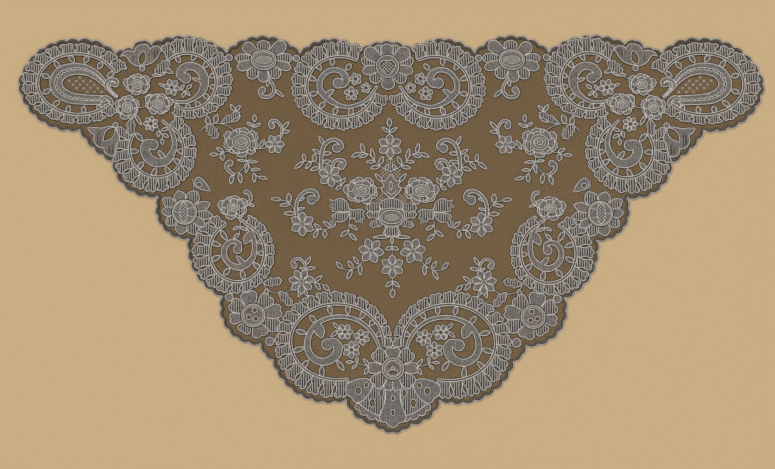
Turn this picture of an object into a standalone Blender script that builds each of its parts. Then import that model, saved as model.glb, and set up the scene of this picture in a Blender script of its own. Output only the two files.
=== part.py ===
"""A triangular lace mantilla laid flat: a scalloped net ground and the motifs worked on it.

The lace lies in the XY plane on its flat underside, with its straight edge towards +Y and its point towards
-Y. The tables below are in millimetres on one half: "out" is the distance from the centre line and "up" the
height above the middle of the piece. A loop works every row on both halves. Angles are in degrees in that out
and up plane, so 0 points out to the tip, 90 to the straight edge and 180 to the centre line.
"""

import math
from collections import Counter, namedtuple

import bpy
import numpy as np
from mathutils import Vector
from mathutils.geometry import delaunay_2d_cdt

MM = 0.001

# Driving sizes, in metres. The tip to tip width and the depth follow from the lobes of the edge.
NET_WALL = 0.0010
LAYER_GAP = 0.0003
MOTIF_WALL = 0.0007
MOTIF_BASE = NET_WALL + LAYER_GAP
MOTIF_TOP = MOTIF_BASE + MOTIF_WALL

# Sizes in the plane of the lace, in millimetres.
SIDE_GAP = 1.3
PLAN_TOLERANCE = 1.0
MERGE = 0.02
PATCH = 1.0
SCALLOP_PITCH = 23.5
SCALLOP_BULGE = 0.24
SCALLOP_SIDES = 2
POINT_SWING = 6.5
STEM_WIDTH = 2.8
CORD_BAND = 5.5
NOTCH_DEPTH = 0.34
WIDE_LEAF = 9.0

NET_COLOUR = (0.045, 0.040, 0.035)
TOILE_COLOUR = (0.190, 0.180, 0.167)

Lobe = namedtuple("Lobe", "name out up bulge")
Ring = namedtuple(
    "Ring", "name out up wide high shift_out shift_up ruffle_wide ruffle_high start finish flutes")
Leaf = namedtuple("Leaf", "out up tip_out tip_up width")
Scroll = namedtuple("Scroll", "eye_out eye_up eye path")
Star = namedtuple("Star", "out up reach petals turn")
Rose = namedtuple("Rose", "out up wide high reach petals turn")
Flower = namedtuple("Flower", "out up wide high petals")

# Each lobe of the edge ends in a notch at (out, up). Its bulge is its height over half of its chord.
CENTRE_LOBE = Lobe("centre", 50, 349, 0.31)
LOBES = [
    Lobe("ring_c", 164, 344, 0.40),
    Lobe("top_flower", 303, 345, 0.44),
    Lobe("ring_a", 445, 360, 0.29),
    Lobe("upper_fan", 480, 352, 0.35),
    Lobe("upper_fan_side", 514, 342, 0.15),
    Lobe("end_top", 583, 368, 0.24),
    Lobe("end_tip_upper", 695, 281, 0.42),
    Lobe("end_tip_lower", 585, 195, 0.42),
    Lobe("lower_fan", 523, 135, 0.15),
    Lobe("ring_b", 437, 70, 0.44),
    Lobe("edge_flower_d", 381, -11, 0.56),
    Lobe("ring_e", 319, -120, 0.33),
    Lobe("edge_flower_f", 247, -210, 0.52),
    Lobe("ring_g_side", 224, -240, 0.28),
    Lobe("ring_g", 87, -314, 0.42),
    Lobe("shell_side", 35, -360, 0.30),
    Lobe("shell_point", 0, -376, 0.18),
]

# A ring's inner cord is the ellipse wide by high, and its ruffle reaches out to the ellipse ruffle_wide by
# ruffle_high, whose middle is moved by the shift.
RINGS = [
    Ring("end", 584, 281, 74.5, 57.5, 0, 0, 100.5, 74.5, -140, 158, 18),
    Ring("a", 377, 289, 55.5, 55.5, -4, 5, 81, 75.5, 47, 297, 15),
    Ring("b", 439, 159, 53.5, 54.5, 3, 0, 78, 79, -240, 36, 17),
    Ring("c", 89, 279, 66, 59.5, 1, 1, 91.5, 82, -168, 120, 19),
    Ring("e", 290, -35, 53.5, 58.5, 6, 0, 76, 77, -250, 68, 20),
    Ring("g", 100, -204, 87.5, 72.5, 9, -4, 108, 99.5, -104, 186, 23),
]

# A scroll's path has rows of (out, up, width) and ends in a round eye.
VOLUTES = {
    "end": Scroll(532, 249, 10.5, [
        (539, 250, 14), (577, 251, 15), (605, 256, 17), (623, 270, 19), (626, 289, 19), (614, 306, 19),
        (589, 313, 17), (565, 310, 15), (546, 298, 12), (531, 281, 7.5), (522, 268, 5), (511, 259, 5)]),
    "a": Scroll(381, 295, 9.5, [
        (418, 255, 3.5), (400, 250, 5), (379, 250, 6), (362, 259, 8), (351, 270, 12), (346, 285, 16),
        (348, 301, 16), (359, 314, 15), (373, 318, 14), (386, 313, 14.5), (391, 302, 16)]),
    "b": Scroll(446, 168, 10, [
        (428, 215, 4), (415, 202, 5.5), (407, 185, 7.5), (405, 167, 9), (410, 152, 11.5), (421, 137, 14),
        (439, 134, 16), (454, 142, 17.5), (461, 157, 17.5), (457, 169, 17)]),
    "c": Scroll(94, 286, 9.5, [
        (21, 281, 4), (31, 266, 5), (42, 254, 5.5), (59, 245, 6), (80, 241, 6.5), (100, 247, 8.5),
        (116, 258, 11.5), (127, 271, 10.5), (129, 285, 9.5), (123, 299, 8.5), (111, 309, 8.5),
        (96, 311, 8.5), (84, 305, 11), (79, 293, 13), (84, 284, 12)]),
    "e": Scroll(289, -30, 8, [
        (285, 27, 4), (274, 21, 5.5), (264, 5, 7.5), (258, -12, 8.5), (257, -30, 9), (261, -46, 10),
        (272, -58, 12), (287, -64, 11.5), (302, -59, 10), (312, -47, 9.5), (314, -32, 9.5), (308, -20, 9),
        (297, -15, 8.5), (286, -19, 8.5)]),
    "g": Scroll(122, -209, 10.5, [
        (24, -219, 4.5), (31, -199, 5.5), (44, -179, 6.5), (63, -164, 7), (85, -157, 7), (110, -157, 7),
        (132, -164, 8), (148, -177, 9), (157, -195, 10), (159, -214, 11.5), (152, -231, 12),
        (137, -241, 13), (120, -240, 14), (106, -229, 16), (102, -214, 16), (109, -205, 15)]),
}
THORNS = {
    "a": [Leaf(350, 288, 369, 295, 6.5)],
    "b": [Leaf(424, 142, 436, 157, 9.5)],
    "c": [Leaf(119, 262, 102, 274, 9.5)],
    "e": [Leaf(276, -59, 291, -42, 9.5), Leaf(262, 5, 276, -20, 15)],
    "g": [Leaf(142, -168, 131, -197, 19)],
}

# Round flowers of the border: petals are rows of (angle, reach, width) round an eye wide by high.
FLOWERS = {
    "top_flower": Flower(233, 330, 23.5, 18.5, [
        (39, 47, 22.5), (92, 36.5, 24.5), (142, 52.5, 23.5), (176, 54.5, 19), (197, 53.5, 17),
        (230, 43.5, 22.5), (273, 42.5, 20.5), (310, 45, 20.5), (343, 52.5, 19), (4, 53.5, 17)]),
    "edge_flower_d": Flower(388, 40, 22.5, 23, [
        (74, 42.5, 22.5), (120, 47, 24.5), (161, 52, 18), (187, 54.5, 18), (214, 47, 16), (244, 48, 22.5),
        (282, 43.5, 22.5), (326, 42.5, 20), (2, 43.5, 18), (32, 49, 19)]),
    "edge_flower_f": Flower(260, -155, 22, 21.5, [
        (77, 47, 30), (130, 49, 26.5), (169, 54.5, 26.5), (205, 52.5, 26.5), (248, 43.5, 30),
        (303, 38.5, 24.5), (350, 45, 20.5), (29, 49, 26.5)]),
}
TOP_MEDALLION = Flower(0, 315, 20.5, 20.5, [
    (47, 41.5, 22.5), (77, 41.5, 20.5), (18, 51, 16), (358, 49, 15), (326, 38.5, 17), (290, 37.5, 13)])
POINT_MEDALLION = Flower(0, -254, 20, 20.5, [
    (90, 40.5, 26.5), (46, 45, 20.5), (2, 47, 20.5), (322, 41.5, 22.5), (293, 44, 19)])

# Fans are leaves that spread from one foot, with an oval opening of (out, up, wide, high, tilt).
FANS = {
    "upper_fan": (
        [Leaf(456, 316, 497, 338, 26), Leaf(455, 314, 457, 360, 34), Leaf(450, 316, 428, 352, 26)],
        (458, 331, 7, 13, 0)),
    "lower_fan": (
        [Leaf(513, 199, 563, 193, 20), Leaf(513, 197, 552, 163, 30), Leaf(510, 195, 525, 147, 26)],
        (526, 187, 9, 15, -24)),
}

# Outlines of the shell below the last medallion, on one half, as (out, up) points.
SHELL_WEDGE = [(0, -288), (13, -291), (14, -314), (24, -342), (21, -353), (10, -360), (0, -366)]
SHELL_HOLES = [(0, -310, 3.2, 4.8), (0, -337, 3.5, 5.5)]
SHELL_RIBBED = [
    (27, -284), (40, -297), (47, -312), (54, -321), (47, -329), (36, -335), (23, -342), (13.5, -312),
    (13, -292)]
SHELL_PETAL = [
    (65, -276), (43, -274), (38, -284), (37, -293), (47, -308), (58, -316), (70, -315), (82, -301),
    (84, -294), (75, -282)]

# Sprays of the field: leaves, stems, stars, scrolls and roses that join into one piece each.
ROSES = {
    "ring_rose": [Rose(296, 50, 17, 12, 29, 7, 15)],
    "rose_spray": [Rose(279, 174, 18, 17, 35, 8, 12)],
    "joining_roses": [
        Rose(473, 283, 12, 11.5, 25.5, 7, 0), Rose(493, 238, 13, 13, 25.5, 6, 20),
        Rose(434, 246, 13, 13, 26.5, 7, 10)],
}
STARS = {
    "rose_spray": [Star(216, 170, 19, 6, 0)],
    "scroll_sprig": [Star(114, 111, 22.5, 6, 20)],
    "corner_sprig": [Star(170, -90, 24.5, 7, 10)],
    "bouquet_side": [Star(167, 19, 23.5, 6, 30)],
    "lower_spray": [Star(39, -31, 24.5, 6, 10)],
}
SCROLLS = {
    "ring_rose": [
        Scroll(272, 79, 4, [
            (281, 50, 4), (270, 56, 5), (263, 67, 6), (267, 78, 7)]),
    ],
    "rose_spray": [
        Scroll(221, 205, 5.5, [
            (209, 179, 3.5), (203, 190, 3.5), (203, 202, 4), (209, 212, 4.5), (217, 215, 5.5),
            (224, 211, 5.5)]),
        Scroll(301, 134, 6, [
            (292, 112, 4), (300, 116, 5.5), (307, 124, 6.5), (307, 132, 7)]),
    ],
    "scroll_sprig": [
        Scroll(100, 163, 8, [
            (129, 120, 6), (130, 136, 6.5), (128, 153, 7), (124, 167, 7), (115, 176, 6.5),
            (104, 179, 6.5), (94, 174, 7.5), (91, 166, 8.5)]),
        Scroll(92, 129, 6.5, [
            (109, 121, 4.5), (107, 134, 5), (100, 140, 5.5), (90, 140, 6), (86, 134, 7)]),
    ],
    "corner_sprig": [
        Scroll(183, -60, 5.5, [
            (162, -65, 4), (165, -54, 4), (173, -47, 4.5), (181, -48, 5), (187, -55, 5.5)]),
    ],
    "bouquet_side": [
        Scroll(149, 65, 8.5, [
            (176, 29, 5.5), (178, 46, 6), (176, 62, 6), (167, 75, 6), (155, 82, 6.5), (143, 80, 7.5),
            (139, 70, 9)]),
    ],
    "top_flower": [
        Scroll(237, 273, 6, [
            (228, 300, 4), (216, 281, 5), (216, 268, 5.5), (225, 260, 6), (237, 261, 6.5),
            (242, 269, 6.5)]),
    ],
}
LEAVES = {
    "ring_rose": [
        (270, 57, 255, 52, 5.5)],
    "rose_spray": [
        (340, 206, 342, 223, 11.5), (329, 208, 323, 227, 11.5), (340, 206, 342, 187, 11.5),
        (330, 208, 331, 183, 11.5), (322, 208, 317, 184, 11.5), (315, 210, 279, 231, 14),
        (297, 212, 279, 225, 11.5), (289, 231, 298, 246, 8.5), (289, 232, 279, 244, 7.5),
        (257, 204, 268, 212, 6.5), (257, 202, 240, 210, 6.5), (253, 212, 253, 227, 8.5),
        (203, 197, 187, 214, 8), (204, 193, 186, 195, 7.5), (246, 161, 235, 180, 7.5),
        (312, 155, 327, 163, 7.5), (323, 150, 340, 150, 7.5), (316, 153, 314, 138, 11.5),
        (296, 112, 301, 93, 9.5), (284, 116, 281, 95, 9.5), (267, 135, 272, 114, 7.5),
        (271, 138, 248, 136, 6.5), (271, 138, 288, 140, 5.5), (262, 122, 243, 122, 6.5),
        (256, 116, 256, 97, 8.5), (249, 108, 230, 104, 7)],
    "scroll_sprig": [
        (124, 168, 133, 187, 7.5), (130, 152, 146, 161, 7.5), (143, 136, 141, 153, 10.5),
        (160, 138, 163, 153, 8.5), (162, 138, 181, 123, 8.5), (147, 138, 160, 123, 7.5),
        (132, 127, 151, 121, 8.5), (128, 152, 109, 154, 8.5), (130, 136, 109, 139, 7.5),
        (94, 93, 85, 108, 7.5), (92, 92, 104, 84, 7.5)],
    "corner_sprig": [
        (162, -59, 152, -42, 8), (162, -67, 143, -63, 7.5), (163, -69, 173, -63, 5.5),
        (147, -91, 130, -78, 8), (145, -91, 134, -106, 9), (130, -95, 117, -108, 9.5),
        (171, -98, 175, -121, 8), (168, -98, 157, -120, 6.5), (240, -94, 205, -88, 17),
        (234, -103, 238, -120, 9.5), (211, -110, 187, -136, 17)],
    "bouquet_side": [
        (206, 65, 226, 67, 8.5), (191, 59, 192, 78, 12), (189, 56, 210, 54, 7.5), (179, 39, 202, 39, 9.5),
        (175, 63, 161, 69, 6), (177, 46, 161, 50, 5.5), (131, 8, 146, 20, 8), (112, 12, 129, 25, 8),
        (138, 8, 146, -8, 9), (125, 8, 125, -8, 9.5), (72, 48, 119, 72, 22.5), (70, 42, 110, 10, 24.5),
        (76, 44, 48, 20, 20.5), (74, 46, 42, 44, 13), (79, 18, 63, 8, 7.5), (80, 8, 97, -5, 8.5),
        (80, 1, 65, -12, 8.5)],
    "lower_spray": [
        (92, -66, 105, -52, 9), (73, -65, 83, -50, 9), (62, -57, 73, -42, 7.5), (60, -56, 60, -78, 9),
        (75, -66, 85, -86, 9)],
    "top_flower": [
        (225, 295, 228, 278, 7), (214, 274, 196, 259, 7.5)],
    "joining_roses": [
        (433, 304, 418, 319, 13), (418, 304, 446, 300, 9.5), (479, 226, 466, 204, 7.5),
        (486, 217, 488, 184, 17), (422, 257, 460, 259, 13)],
}
STEMS = {
    "rose_spray": [
        [(355, 195), (344, 205), (330, 209), (315, 208), (300, 202), (291, 195)], [(319, 208), (289, 232)],
        [(271, 150), (271, 135), (280, 120), (294, 112)], [(271, 142), (263, 125), (256, 114), (245, 106)],
        [(261, 189), (257, 204), (253, 215)], [(261, 165), (246, 161), (220, 166)],
        [(295, 157), (310, 155), (325, 150)]],
    "scroll_sprig": [[(130, 125), (139, 136), (150, 138), (164, 138)], [(106, 103), (91, 91)]],
    "corner_sprig": [
        [(168, -86), (162, -59)], [(165, -90), (139, -93), (126, -97)],
        [(172, -92), (188, -104), (200, -112), (217, -112), (234, -106), (241, -93)]],
    "bouquet_side": [
        [(170, 25), (178, 39), (191, 59), (211, 65)],
        [(162, 16), (154, 10), (135, 8), (120, 10), (104, 18)],
        [(78, 34), (80, 12), (80, -1)]],
    "lower_spray": [[(48, -44), (60, -57), (71, -65), (85, -68), (94, -65)]],
    "joining_roses": [[(473, 283), (493, 238), (434, 246)], [(473, 283), (430, 302)]],
}

# The centre line has motifs of its own, on one half; the other half is their mirror image.
CENTRE_LEAVES = {
    "top_sprig": [
        (-1, 192, 15, 203, 7), (54, 155, 74, 146, 9), (49, 153, 54, 173, 9.5), (41, 152, 59, 145, 7),
        (30, 140, 36, 164, 8.5), (28, 138, 46, 137, 7), (19, 129, 39, 125, 8.5), (21, 131, 13, 148, 9.5),
        (9, 121, 4, 133, 7.5)],
    "lower_sprig": [
        (0, -3, 37, -6, 7.5), (0, -5, 0, -18, 7.5), (-1, -24, 13, -29, 8), (-1, -88, 14, -100, 8)],
    "bouquet": [
        (14, 98, 30, 116, 8.5), (18, 52, 48, 50, 19), (18, 38, 48, 38, 17), (14, 24, 42, 17, 15),
        (2, 22, 12, -4, 15)],
}
CENTRE_STEMS = {
    "top_sprig": [[(58, 155), (41, 152), (30, 140), (19, 129), (-1, 118)]],
    "bouquet": [[(54, 81), (14, 90)]],
}
DROP_LEAVES = {
    "top_sprig": [Leaf(0, 203, 0, 221, 11), Leaf(0, 150, 0, 140, 5)],
    "lower_sprig": [Leaf(0, -102, 0, -121, 12)],
}
CENTRE_STARS = {
    "top_sprig": [Star(0, 167, 23.5, 6, 30)],
    "lower_sprig": [Star(0, -61, 22.5, 6, 30)],
}

# The upright stem of each centre spray runs from one height to the other.
CENTRE_LINES = {"bouquet": (45, 108), "top_sprig": (116, 208), "lower_sprig": (-105, 0)}
CENTRE_ROSES = {"bouquet": [Rose(54, 81, 17, 16, 32, 7, 5)]}

# The bouquet's heart and urn as (out, up) points on one half.
CENTRE_SHAPES = {
    "bouquet": [[(0, 114), (9, 103), (17, 101), (14, 92), (19, 86), (12, 77), (0, 68)],
                [(0, 66), (13, 63), (18, 57), (18, 46), (21, 40), (20, 30), (12, 20), (0, 16)]],
}


def blend(start, end, part):
    return tuple(a + (b - a) * part for a, b in zip(start, end))


def arc(start, end, bulge, steps):
    """Points from start up to, not including, end on an arc that stands bulge half-chords to the left."""
    chord = math.dist(start, end)
    across = ((start[1] - end[1]) / chord, (end[0] - start[0]) / chord)
    sweep = 4 * math.atan(bulge)
    radius = chord / 2 / math.sin(sweep / 2)
    drop = radius * math.cos(sweep / 2)
    middle = blend(start, end, 0.5)
    centre = (middle[0] - across[0] * drop, middle[1] - across[1] * drop)
    facing = math.atan2(across[1], across[0])
    turns = [facing + sweep / 2 - sweep * step / steps for step in range(steps)]
    return [(centre[0] + radius * math.cos(turn), centre[1] + radius * math.sin(turn)) for turn in turns]


def oval(out, up, wide, high, sides, tilt=0.0):
    """A loop of points round an oval, turned by tilt degrees."""
    lean = math.radians(tilt)
    loop = []
    for side in range(sides):
        turn = 2 * math.pi * side / sides
        along, across = wide * math.cos(turn), high * math.sin(turn)
        loop.append((out + along * math.cos(lean) - across * math.sin(lean),
                     up + along * math.sin(lean) + across * math.cos(lean)))
    return loop


def leaf_loop(leaf):
    """A pointed leaf from its foot to its tip."""
    leaf = Leaf(*leaf)
    long = math.dist(leaf[:2], leaf[2:4])
    along = ((leaf.tip_out - leaf.out) / long, (leaf.tip_up - leaf.up) / long)
    side = (-along[1], along[0])

    def at(part, width):
        reach, offset = long * part, leaf.width * width / 2
        return (leaf.out + along[0] * reach + side[0] * offset,
                leaf.up + along[1] * reach + side[1] * offset)

    if leaf.width < WIDE_LEAF:
        return [at(-0.04, 0.0), at(0.48, -1.0), at(1.0, 0.0), at(0.48, 1.0)]
    return [at(-0.04, 0.0), at(0.32, -0.94), at(0.72, -0.78), at(1.0, 0.0), at(0.72, 0.78), at(0.32, 0.94)]


def ribbon_loops(rows):
    """Four-sided loops that follow the rows of (out, up, width)."""
    edges = []
    for index, (out, up, width) in enumerate(rows):
        before, after = rows[max(index - 1, 0)], rows[min(index + 1, len(rows) - 1)]
        run = math.dist(before[:2], after[:2])
        across = ((before[1] - after[1]) / run * width / 2, (after[0] - before[0]) / run * width / 2)
        edges.append(((out + across[0], up + across[1]), (out - across[0], up - across[1])))
    return [[a[0], a[1], b[1], b[0]] for a, b in zip(edges, edges[1:])]


def stem_loops(points, width=STEM_WIDTH):
    return ribbon_loops([(out, up, width) for out, up in points])


def scroll_loops(scroll, eye_sides):
    """A scroll's band with a round eye at its end."""
    eye = oval(scroll.eye_out, scroll.eye_up, scroll.eye, scroll.eye, eye_sides)
    return [*ribbon_loops(scroll.path), eye]


def star_loop(star):
    """A star flower: each petal has a valley and two corners at its end, as (turn in petals, reach)."""
    star = Star(*star)
    loop = []
    for petal in range(star.petals):
        for offset, reach in ((-0.5, 0.42), (-0.17, 0.97), (0.17, 0.97)):
            turn = math.radians(star.turn) + 2 * math.pi * (petal + offset) / star.petals
            loop.append((star.out + star.reach * reach * math.cos(turn),
                         star.up + star.reach * reach * math.sin(turn)))
    return loop


def rose_loop(rose):
    """A full rose: a round of wide, blunt petals, less high than wide."""
    loop = []
    flat = 0.5 + 0.5 * rose.high / rose.wide
    for petal in range(rose.petals):
        for offset, reach in ((-0.5, 0.78), (-0.28, 1.0), (0.28, 1.0)):
            turn = math.radians(rose.turn) + 2 * math.pi * (petal + offset) / rose.petals
            loop.append((rose.out + rose.reach * reach * math.cos(turn),
                         rose.up + rose.reach * flat * reach * math.sin(turn)))
    return loop


def petal_loop(flower, angle, reach, width):
    """A round-ended petal that starts inside its flower's eye."""
    turn = math.radians(angle)
    along = (math.cos(turn), math.sin(turn))
    side = (-along[1], along[0])
    foot = 0.8 * math.hypot(flower.wide * along[0], flower.high * along[1])

    def at(part, share):
        distance, offset = foot + (reach - foot) * part, width * share / 2
        return (flower.out + along[0] * distance + side[0] * offset,
                flower.up + along[1] * distance + side[1] * offset)

    return [at(0, -0.45), at(0.62, -1.0), at(0.96, -0.5), at(0.96, 0.5), at(0.62, 1.0), at(0, 0.45)]


def flower_loops(flower, eye_sides=12):
    petals = [petal_loop(flower, *petal) for petal in flower.petals]
    return petals + [oval(flower.out, flower.up, flower.wide, flower.high, eye_sides)]


def ruffle_loop(ring):
    """The ruffled band of a ring: fluted outside, with its inner cord's band inside."""
    step = (ring.finish - ring.start) / ring.flutes
    outer, inner = [], []

    def on(angle, reach):
        turn = math.radians(angle)
        near = (ring.out + ring.wide * math.cos(turn), ring.up + ring.high * math.sin(turn))
        far = (ring.out + ring.shift_out + ring.ruffle_wide * math.cos(turn),
               ring.up + ring.shift_up + ring.ruffle_high * math.sin(turn))
        return blend(near, far, reach)

    for flute in range(ring.flutes):
        foot = ring.start + flute * step
        outer += [on(foot, 1 - NOTCH_DEPTH), on(foot + 0.22 * step, 1.0), on(foot + 0.78 * step, 1.0)]
    outer.append(on(ring.finish, 1 - NOTCH_DEPTH))
    sides = ring.flutes // 2 + 1
    for side in range(sides, -1, -1):
        turn = math.radians(ring.start + (ring.finish - ring.start) * side / sides)
        inner.append((ring.out + (ring.wide - CORD_BAND) * math.cos(turn),
                      ring.up + (ring.high - CORD_BAND) * math.sin(turn)))
    return outer + inner


def mirrored(loop, side):
    return [(side * out, up) for out, up in loop]


def both_halves(loop):
    """An outline given on one half, from the centre line to the centre line, closed by its mirror image."""
    return loop + [(-out, up) for out, up in reversed(loop) if abs(out) > MERGE]


def edge_outline():
    """The scalloped edge of the whole piece, clockwise from the first notch right of the centre."""
    right = [(CENTRE_LOBE.out, CENTRE_LOBE.up)]
    arcs = []
    for lobe in LOBES:
        arcs.append((right[-1], (lobe.out, lobe.up), lobe.bulge))
        right.append((lobe.out, lobe.up))
    arcs += [((-b[0], b[1]), (-a[0], a[1]), bulge) for a, b, bulge in reversed(arcs)]
    arcs.append(((-CENTRE_LOBE.out, CENTRE_LOBE.up), right[0], CENTRE_LOBE.bulge))
    outline = []
    for start, end, bulge in arcs:
        scallops = max(1, round(math.dist(start, end) * (1 + bulge * bulge) / SCALLOP_PITCH))
        feet = arc(start, end, bulge, scallops) + [end]
        for foot, next_foot in zip(feet, feet[1:]):
            outline += arc(foot, next_foot, SCALLOP_BULGE, SCALLOP_SIDES)
    return outline


def inside(spots, loops):
    """Whether each spot lies within the loops taken together, by counting the edges on its right."""
    odd = np.zeros(len(spots), bool)
    for loop in loops:
        for (start_out, start_up), (end_out, end_up) in zip(loop, [*loop[1:], loop[0]]):
            if start_up == end_up:
                continue
            level = (spots[:, 1] - start_up) / (end_up - start_up)
            odd ^= (level >= 0) & (level < 1) & (spots[:, 0] < start_out + (end_out - start_out) * level)
    return odd


def covered(spots, loops):
    """Whether each spot lies within any one of the loops."""
    found = np.zeros(len(spots), bool)
    for loop in loops:
        near = ((spots > np.min(loop, axis=0)) & (spots < np.max(loop, axis=0))).all(axis=1)
        found[near] |= inside(spots[near], [loop])
    return found


def triangulated(loops):
    """Corners of a flat mesh that has every edge of the loops in it, its triangles and their middles."""
    points = [Vector(point) for loop in loops for point in loop]
    edges = []
    for loop in loops:
        first = len(edges)
        edges += [(first + index, first + (index + 1) % len(loop)) for index in range(len(loop))]
    corners, _, triangles, *_ = delaunay_2d_cdt(points, edges, [], 0, MERGE, False)
    middles = np.array([sum((corners[i] for i in tri), Vector((0, 0))) / 3 for tri in triangles])
    return corners, triangles, middles


def merged_area(add, cut=()):
    """Corners and triangles of the area that any loop in add covers and no loop in cut does."""
    corners, triangles, middles = triangulated([*add, *cut])
    kept = np.flatnonzero(covered(middles, add) & ~covered(middles, cut))
    return corners, largest_part(corners, [triangles[index] for index in kept])


def filled(loops):
    """Corners and triangles of the area within an outline and outside its openings."""
    corners, triangles, middles = triangulated(loops)
    kept = np.flatnonzero(inside(middles, loops))
    return corners, largest_part(corners, [triangles[index] for index in kept])


def area_of(corners, triangles):
    return sum((corners[b] - corners[a]).cross(corners[c] - corners[a]) / 2 for a, b, c in triangles)


def largest_part(corners, triangles):
    """The group of triangles, joined edge to edge, that has the most area."""
    by_edge = {}
    for index, tri in enumerate(triangles):
        for a, b in zip(tri, (*tri[1:], tri[0])):
            by_edge.setdefault(frozenset((a, b)), []).append(index)
    left, groups = set(range(len(triangles))), []
    while left:
        group, waiting = [], [left.pop()]
        while waiting:
            index = waiting.pop()
            group.append(triangles[index])
            tri = triangles[index]
            for a, b in zip(tri, (*tri[1:], tri[0])):
                for other in by_edge[frozenset((a, b))]:
                    if other in left:
                        left.remove(other)
                        waiting.append(other)
        groups.append(group)
    return max(groups, key=lambda group: area_of(corners, group))


def rim(triangles):
    """The outer half-edges of a flat set of triangles, each as a pair of corner numbers."""
    halves = {(a, b) for tri in triangles for a, b in zip(tri, (*tri[1:], tri[0]))}
    return sorted((a, b) for a, b in halves if (b, a) not in halves)


def rim_loops(corners, triangles):
    """The rim as closed loops of points: the outline and any openings."""
    onward = {}
    for a, b in rim(triangles):
        onward.setdefault(a, []).append(b)
    loops = []
    while onward:
        at, loop = min(onward), []
        while at in onward:
            loop.append(corners[at][:])
            following = onward[at].pop()
            if not onward[at]:
                del onward[at]
            at = following
        loops.append(loop)
    return loops


def offset_from(point, start, end):
    """How far a point stands from the line through start and end."""
    along = (end[0] - start[0], end[1] - start[1])
    doubled = along[0] * (point[1] - start[1]) - along[1] * (point[0] - start[0])
    return abs(doubled) / max(math.hypot(*along), MERGE)


def simplified(loop):
    """The loop without the points that barely stand out from the line between their neighbours."""
    points = list(loop)
    while len(points) > 4:
        onward = [*points[1:], points[0]]
        offsets = [offset_from(point, points[i - 1], onward[i]) for i, point in enumerate(points)]
        least = min(offsets)
        if least > PLAN_TOLERANCE:
            break
        del points[offsets.index(least)]
    return points


def joined(corners, triangles):
    """The same area with a small patch over every corner where it only touches itself."""
    starts = Counter(a for a, b in rim(triangles))
    patches = [oval(*corners[a], PATCH, PATCH, 4) for a, count in starts.items() if count > 1]
    if not patches:
        return corners, triangles
    loops = [[corners[index][:] for index in tri] for tri in triangles]
    return filled(rim_loops(*merged_area(loops + patches)))


def keep_off(add, corners, triangles):
    """Loops that cover a placed motif and a narrow gap all round it."""
    loops = list(add)
    for a, b in rim(triangles):
        start, end = corners[a], corners[b]
        along = (end - start).normalized() * SIDE_GAP
        side = Vector((-along.y, along.x))
        loops.append([(start - along + side)[:], (start - along - side)[:], (end + along - side)[:],
                      (end + along + side)[:]])
    return loops


def fabric(name, colour):
    material = bpy.data.materials.new(name)
    material.use_nodes = True
    shader = material.node_tree.nodes["Principled BSDF"]
    shader.inputs["Base Color"].default_value = (*colour, 1.0)
    shader.inputs["Roughness"].default_value = 0.85
    shader.inputs["Metallic"].default_value = 0.0
    return material


def slab(name, corners, triangles, base, top, colour):
    """A closed plate of the flat triangles between two heights, in metres."""
    used = sorted({index for tri in triangles for index in tri})
    place = {index: order for order, index in enumerate(used)}
    count = len(used)
    points = [laid(*corners[index], height) for height in (base, top) for index in used]
    under = [[place[c], place[b], place[a]] for a, b, c in triangles]
    over = [[place[a] + count, place[b] + count, place[c] + count] for a, b, c in triangles]
    walls = [[place[a], place[b], place[b] + count, place[a] + count] for a, b in rim(triangles)]
    polygons = under + over + walls
    mesh = bpy.data.meshes.new(name)
    mesh.from_pydata(points, [], polygons)
    mesh.materials.append(fabric(name, colour))
    piece = bpy.data.objects.new(name, mesh)
    bpy.context.scene.collection.objects.link(piece)
    return piece


def laid(out, up, height):
    """A place on the lace as it lies: its point has swung to one side, and its box is centred."""
    return ((out + swung(up) - CENTRE[0]) * MM, (up - CENTRE[1]) * MM, height)


def swung(up):
    return POINT_SWING * (OUTLINE_TOP - up) / OUTLINE_DEPTH


def spray_loops(name, side):
    """All the loops of one spray of the field, on one half."""
    loops = [leaf_loop(row) for row in LEAVES.get(name, [])]
    loops += [loop for stem in STEMS.get(name, []) for loop in stem_loops(stem)]
    loops += [loop for scroll in SCROLLS.get(name, []) for loop in scroll_loops(scroll, 6)]
    loops += [star_loop(row) for row in STARS.get(name, [])]
    loops += [rose_loop(rose) for rose in ROSES.get(name, [])]
    return [mirrored(loop, side) for loop in loops]


def centre_loops(name):
    """All the loops of one spray on the centre line."""
    loops = []
    for side in (1, -1):
        loops += [mirrored(leaf_loop(row), side) for row in CENTRE_LEAVES[name]]
        for stem in CENTRE_STEMS.get(name, []):
            loops += [mirrored(loop, side) for loop in stem_loops(stem)]
        loops += [mirrored(rose_loop(rose), side) for rose in CENTRE_ROSES.get(name, [])]
    low, high = CENTRE_LINES[name]
    loops += stem_loops([(0, low), (0, high)])
    loops += [leaf_loop(row) for row in DROP_LEAVES.get(name, [])]
    loops += [star_loop(row) for row in CENTRE_STARS.get(name, [])]
    return loops + [both_halves(shape) for shape in CENTRE_SHAPES.get(name, [])]


def centre_flower_loops(flower):
    """A flower on the centre line: the petals of one half and their mirror images."""
    loops = [mirrored(loop, side) for side in (1, -1) for loop in flower_loops(flower)[:-1]]
    return loops + [oval(flower.out, flower.up, flower.wide, flower.high, 16)]


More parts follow.
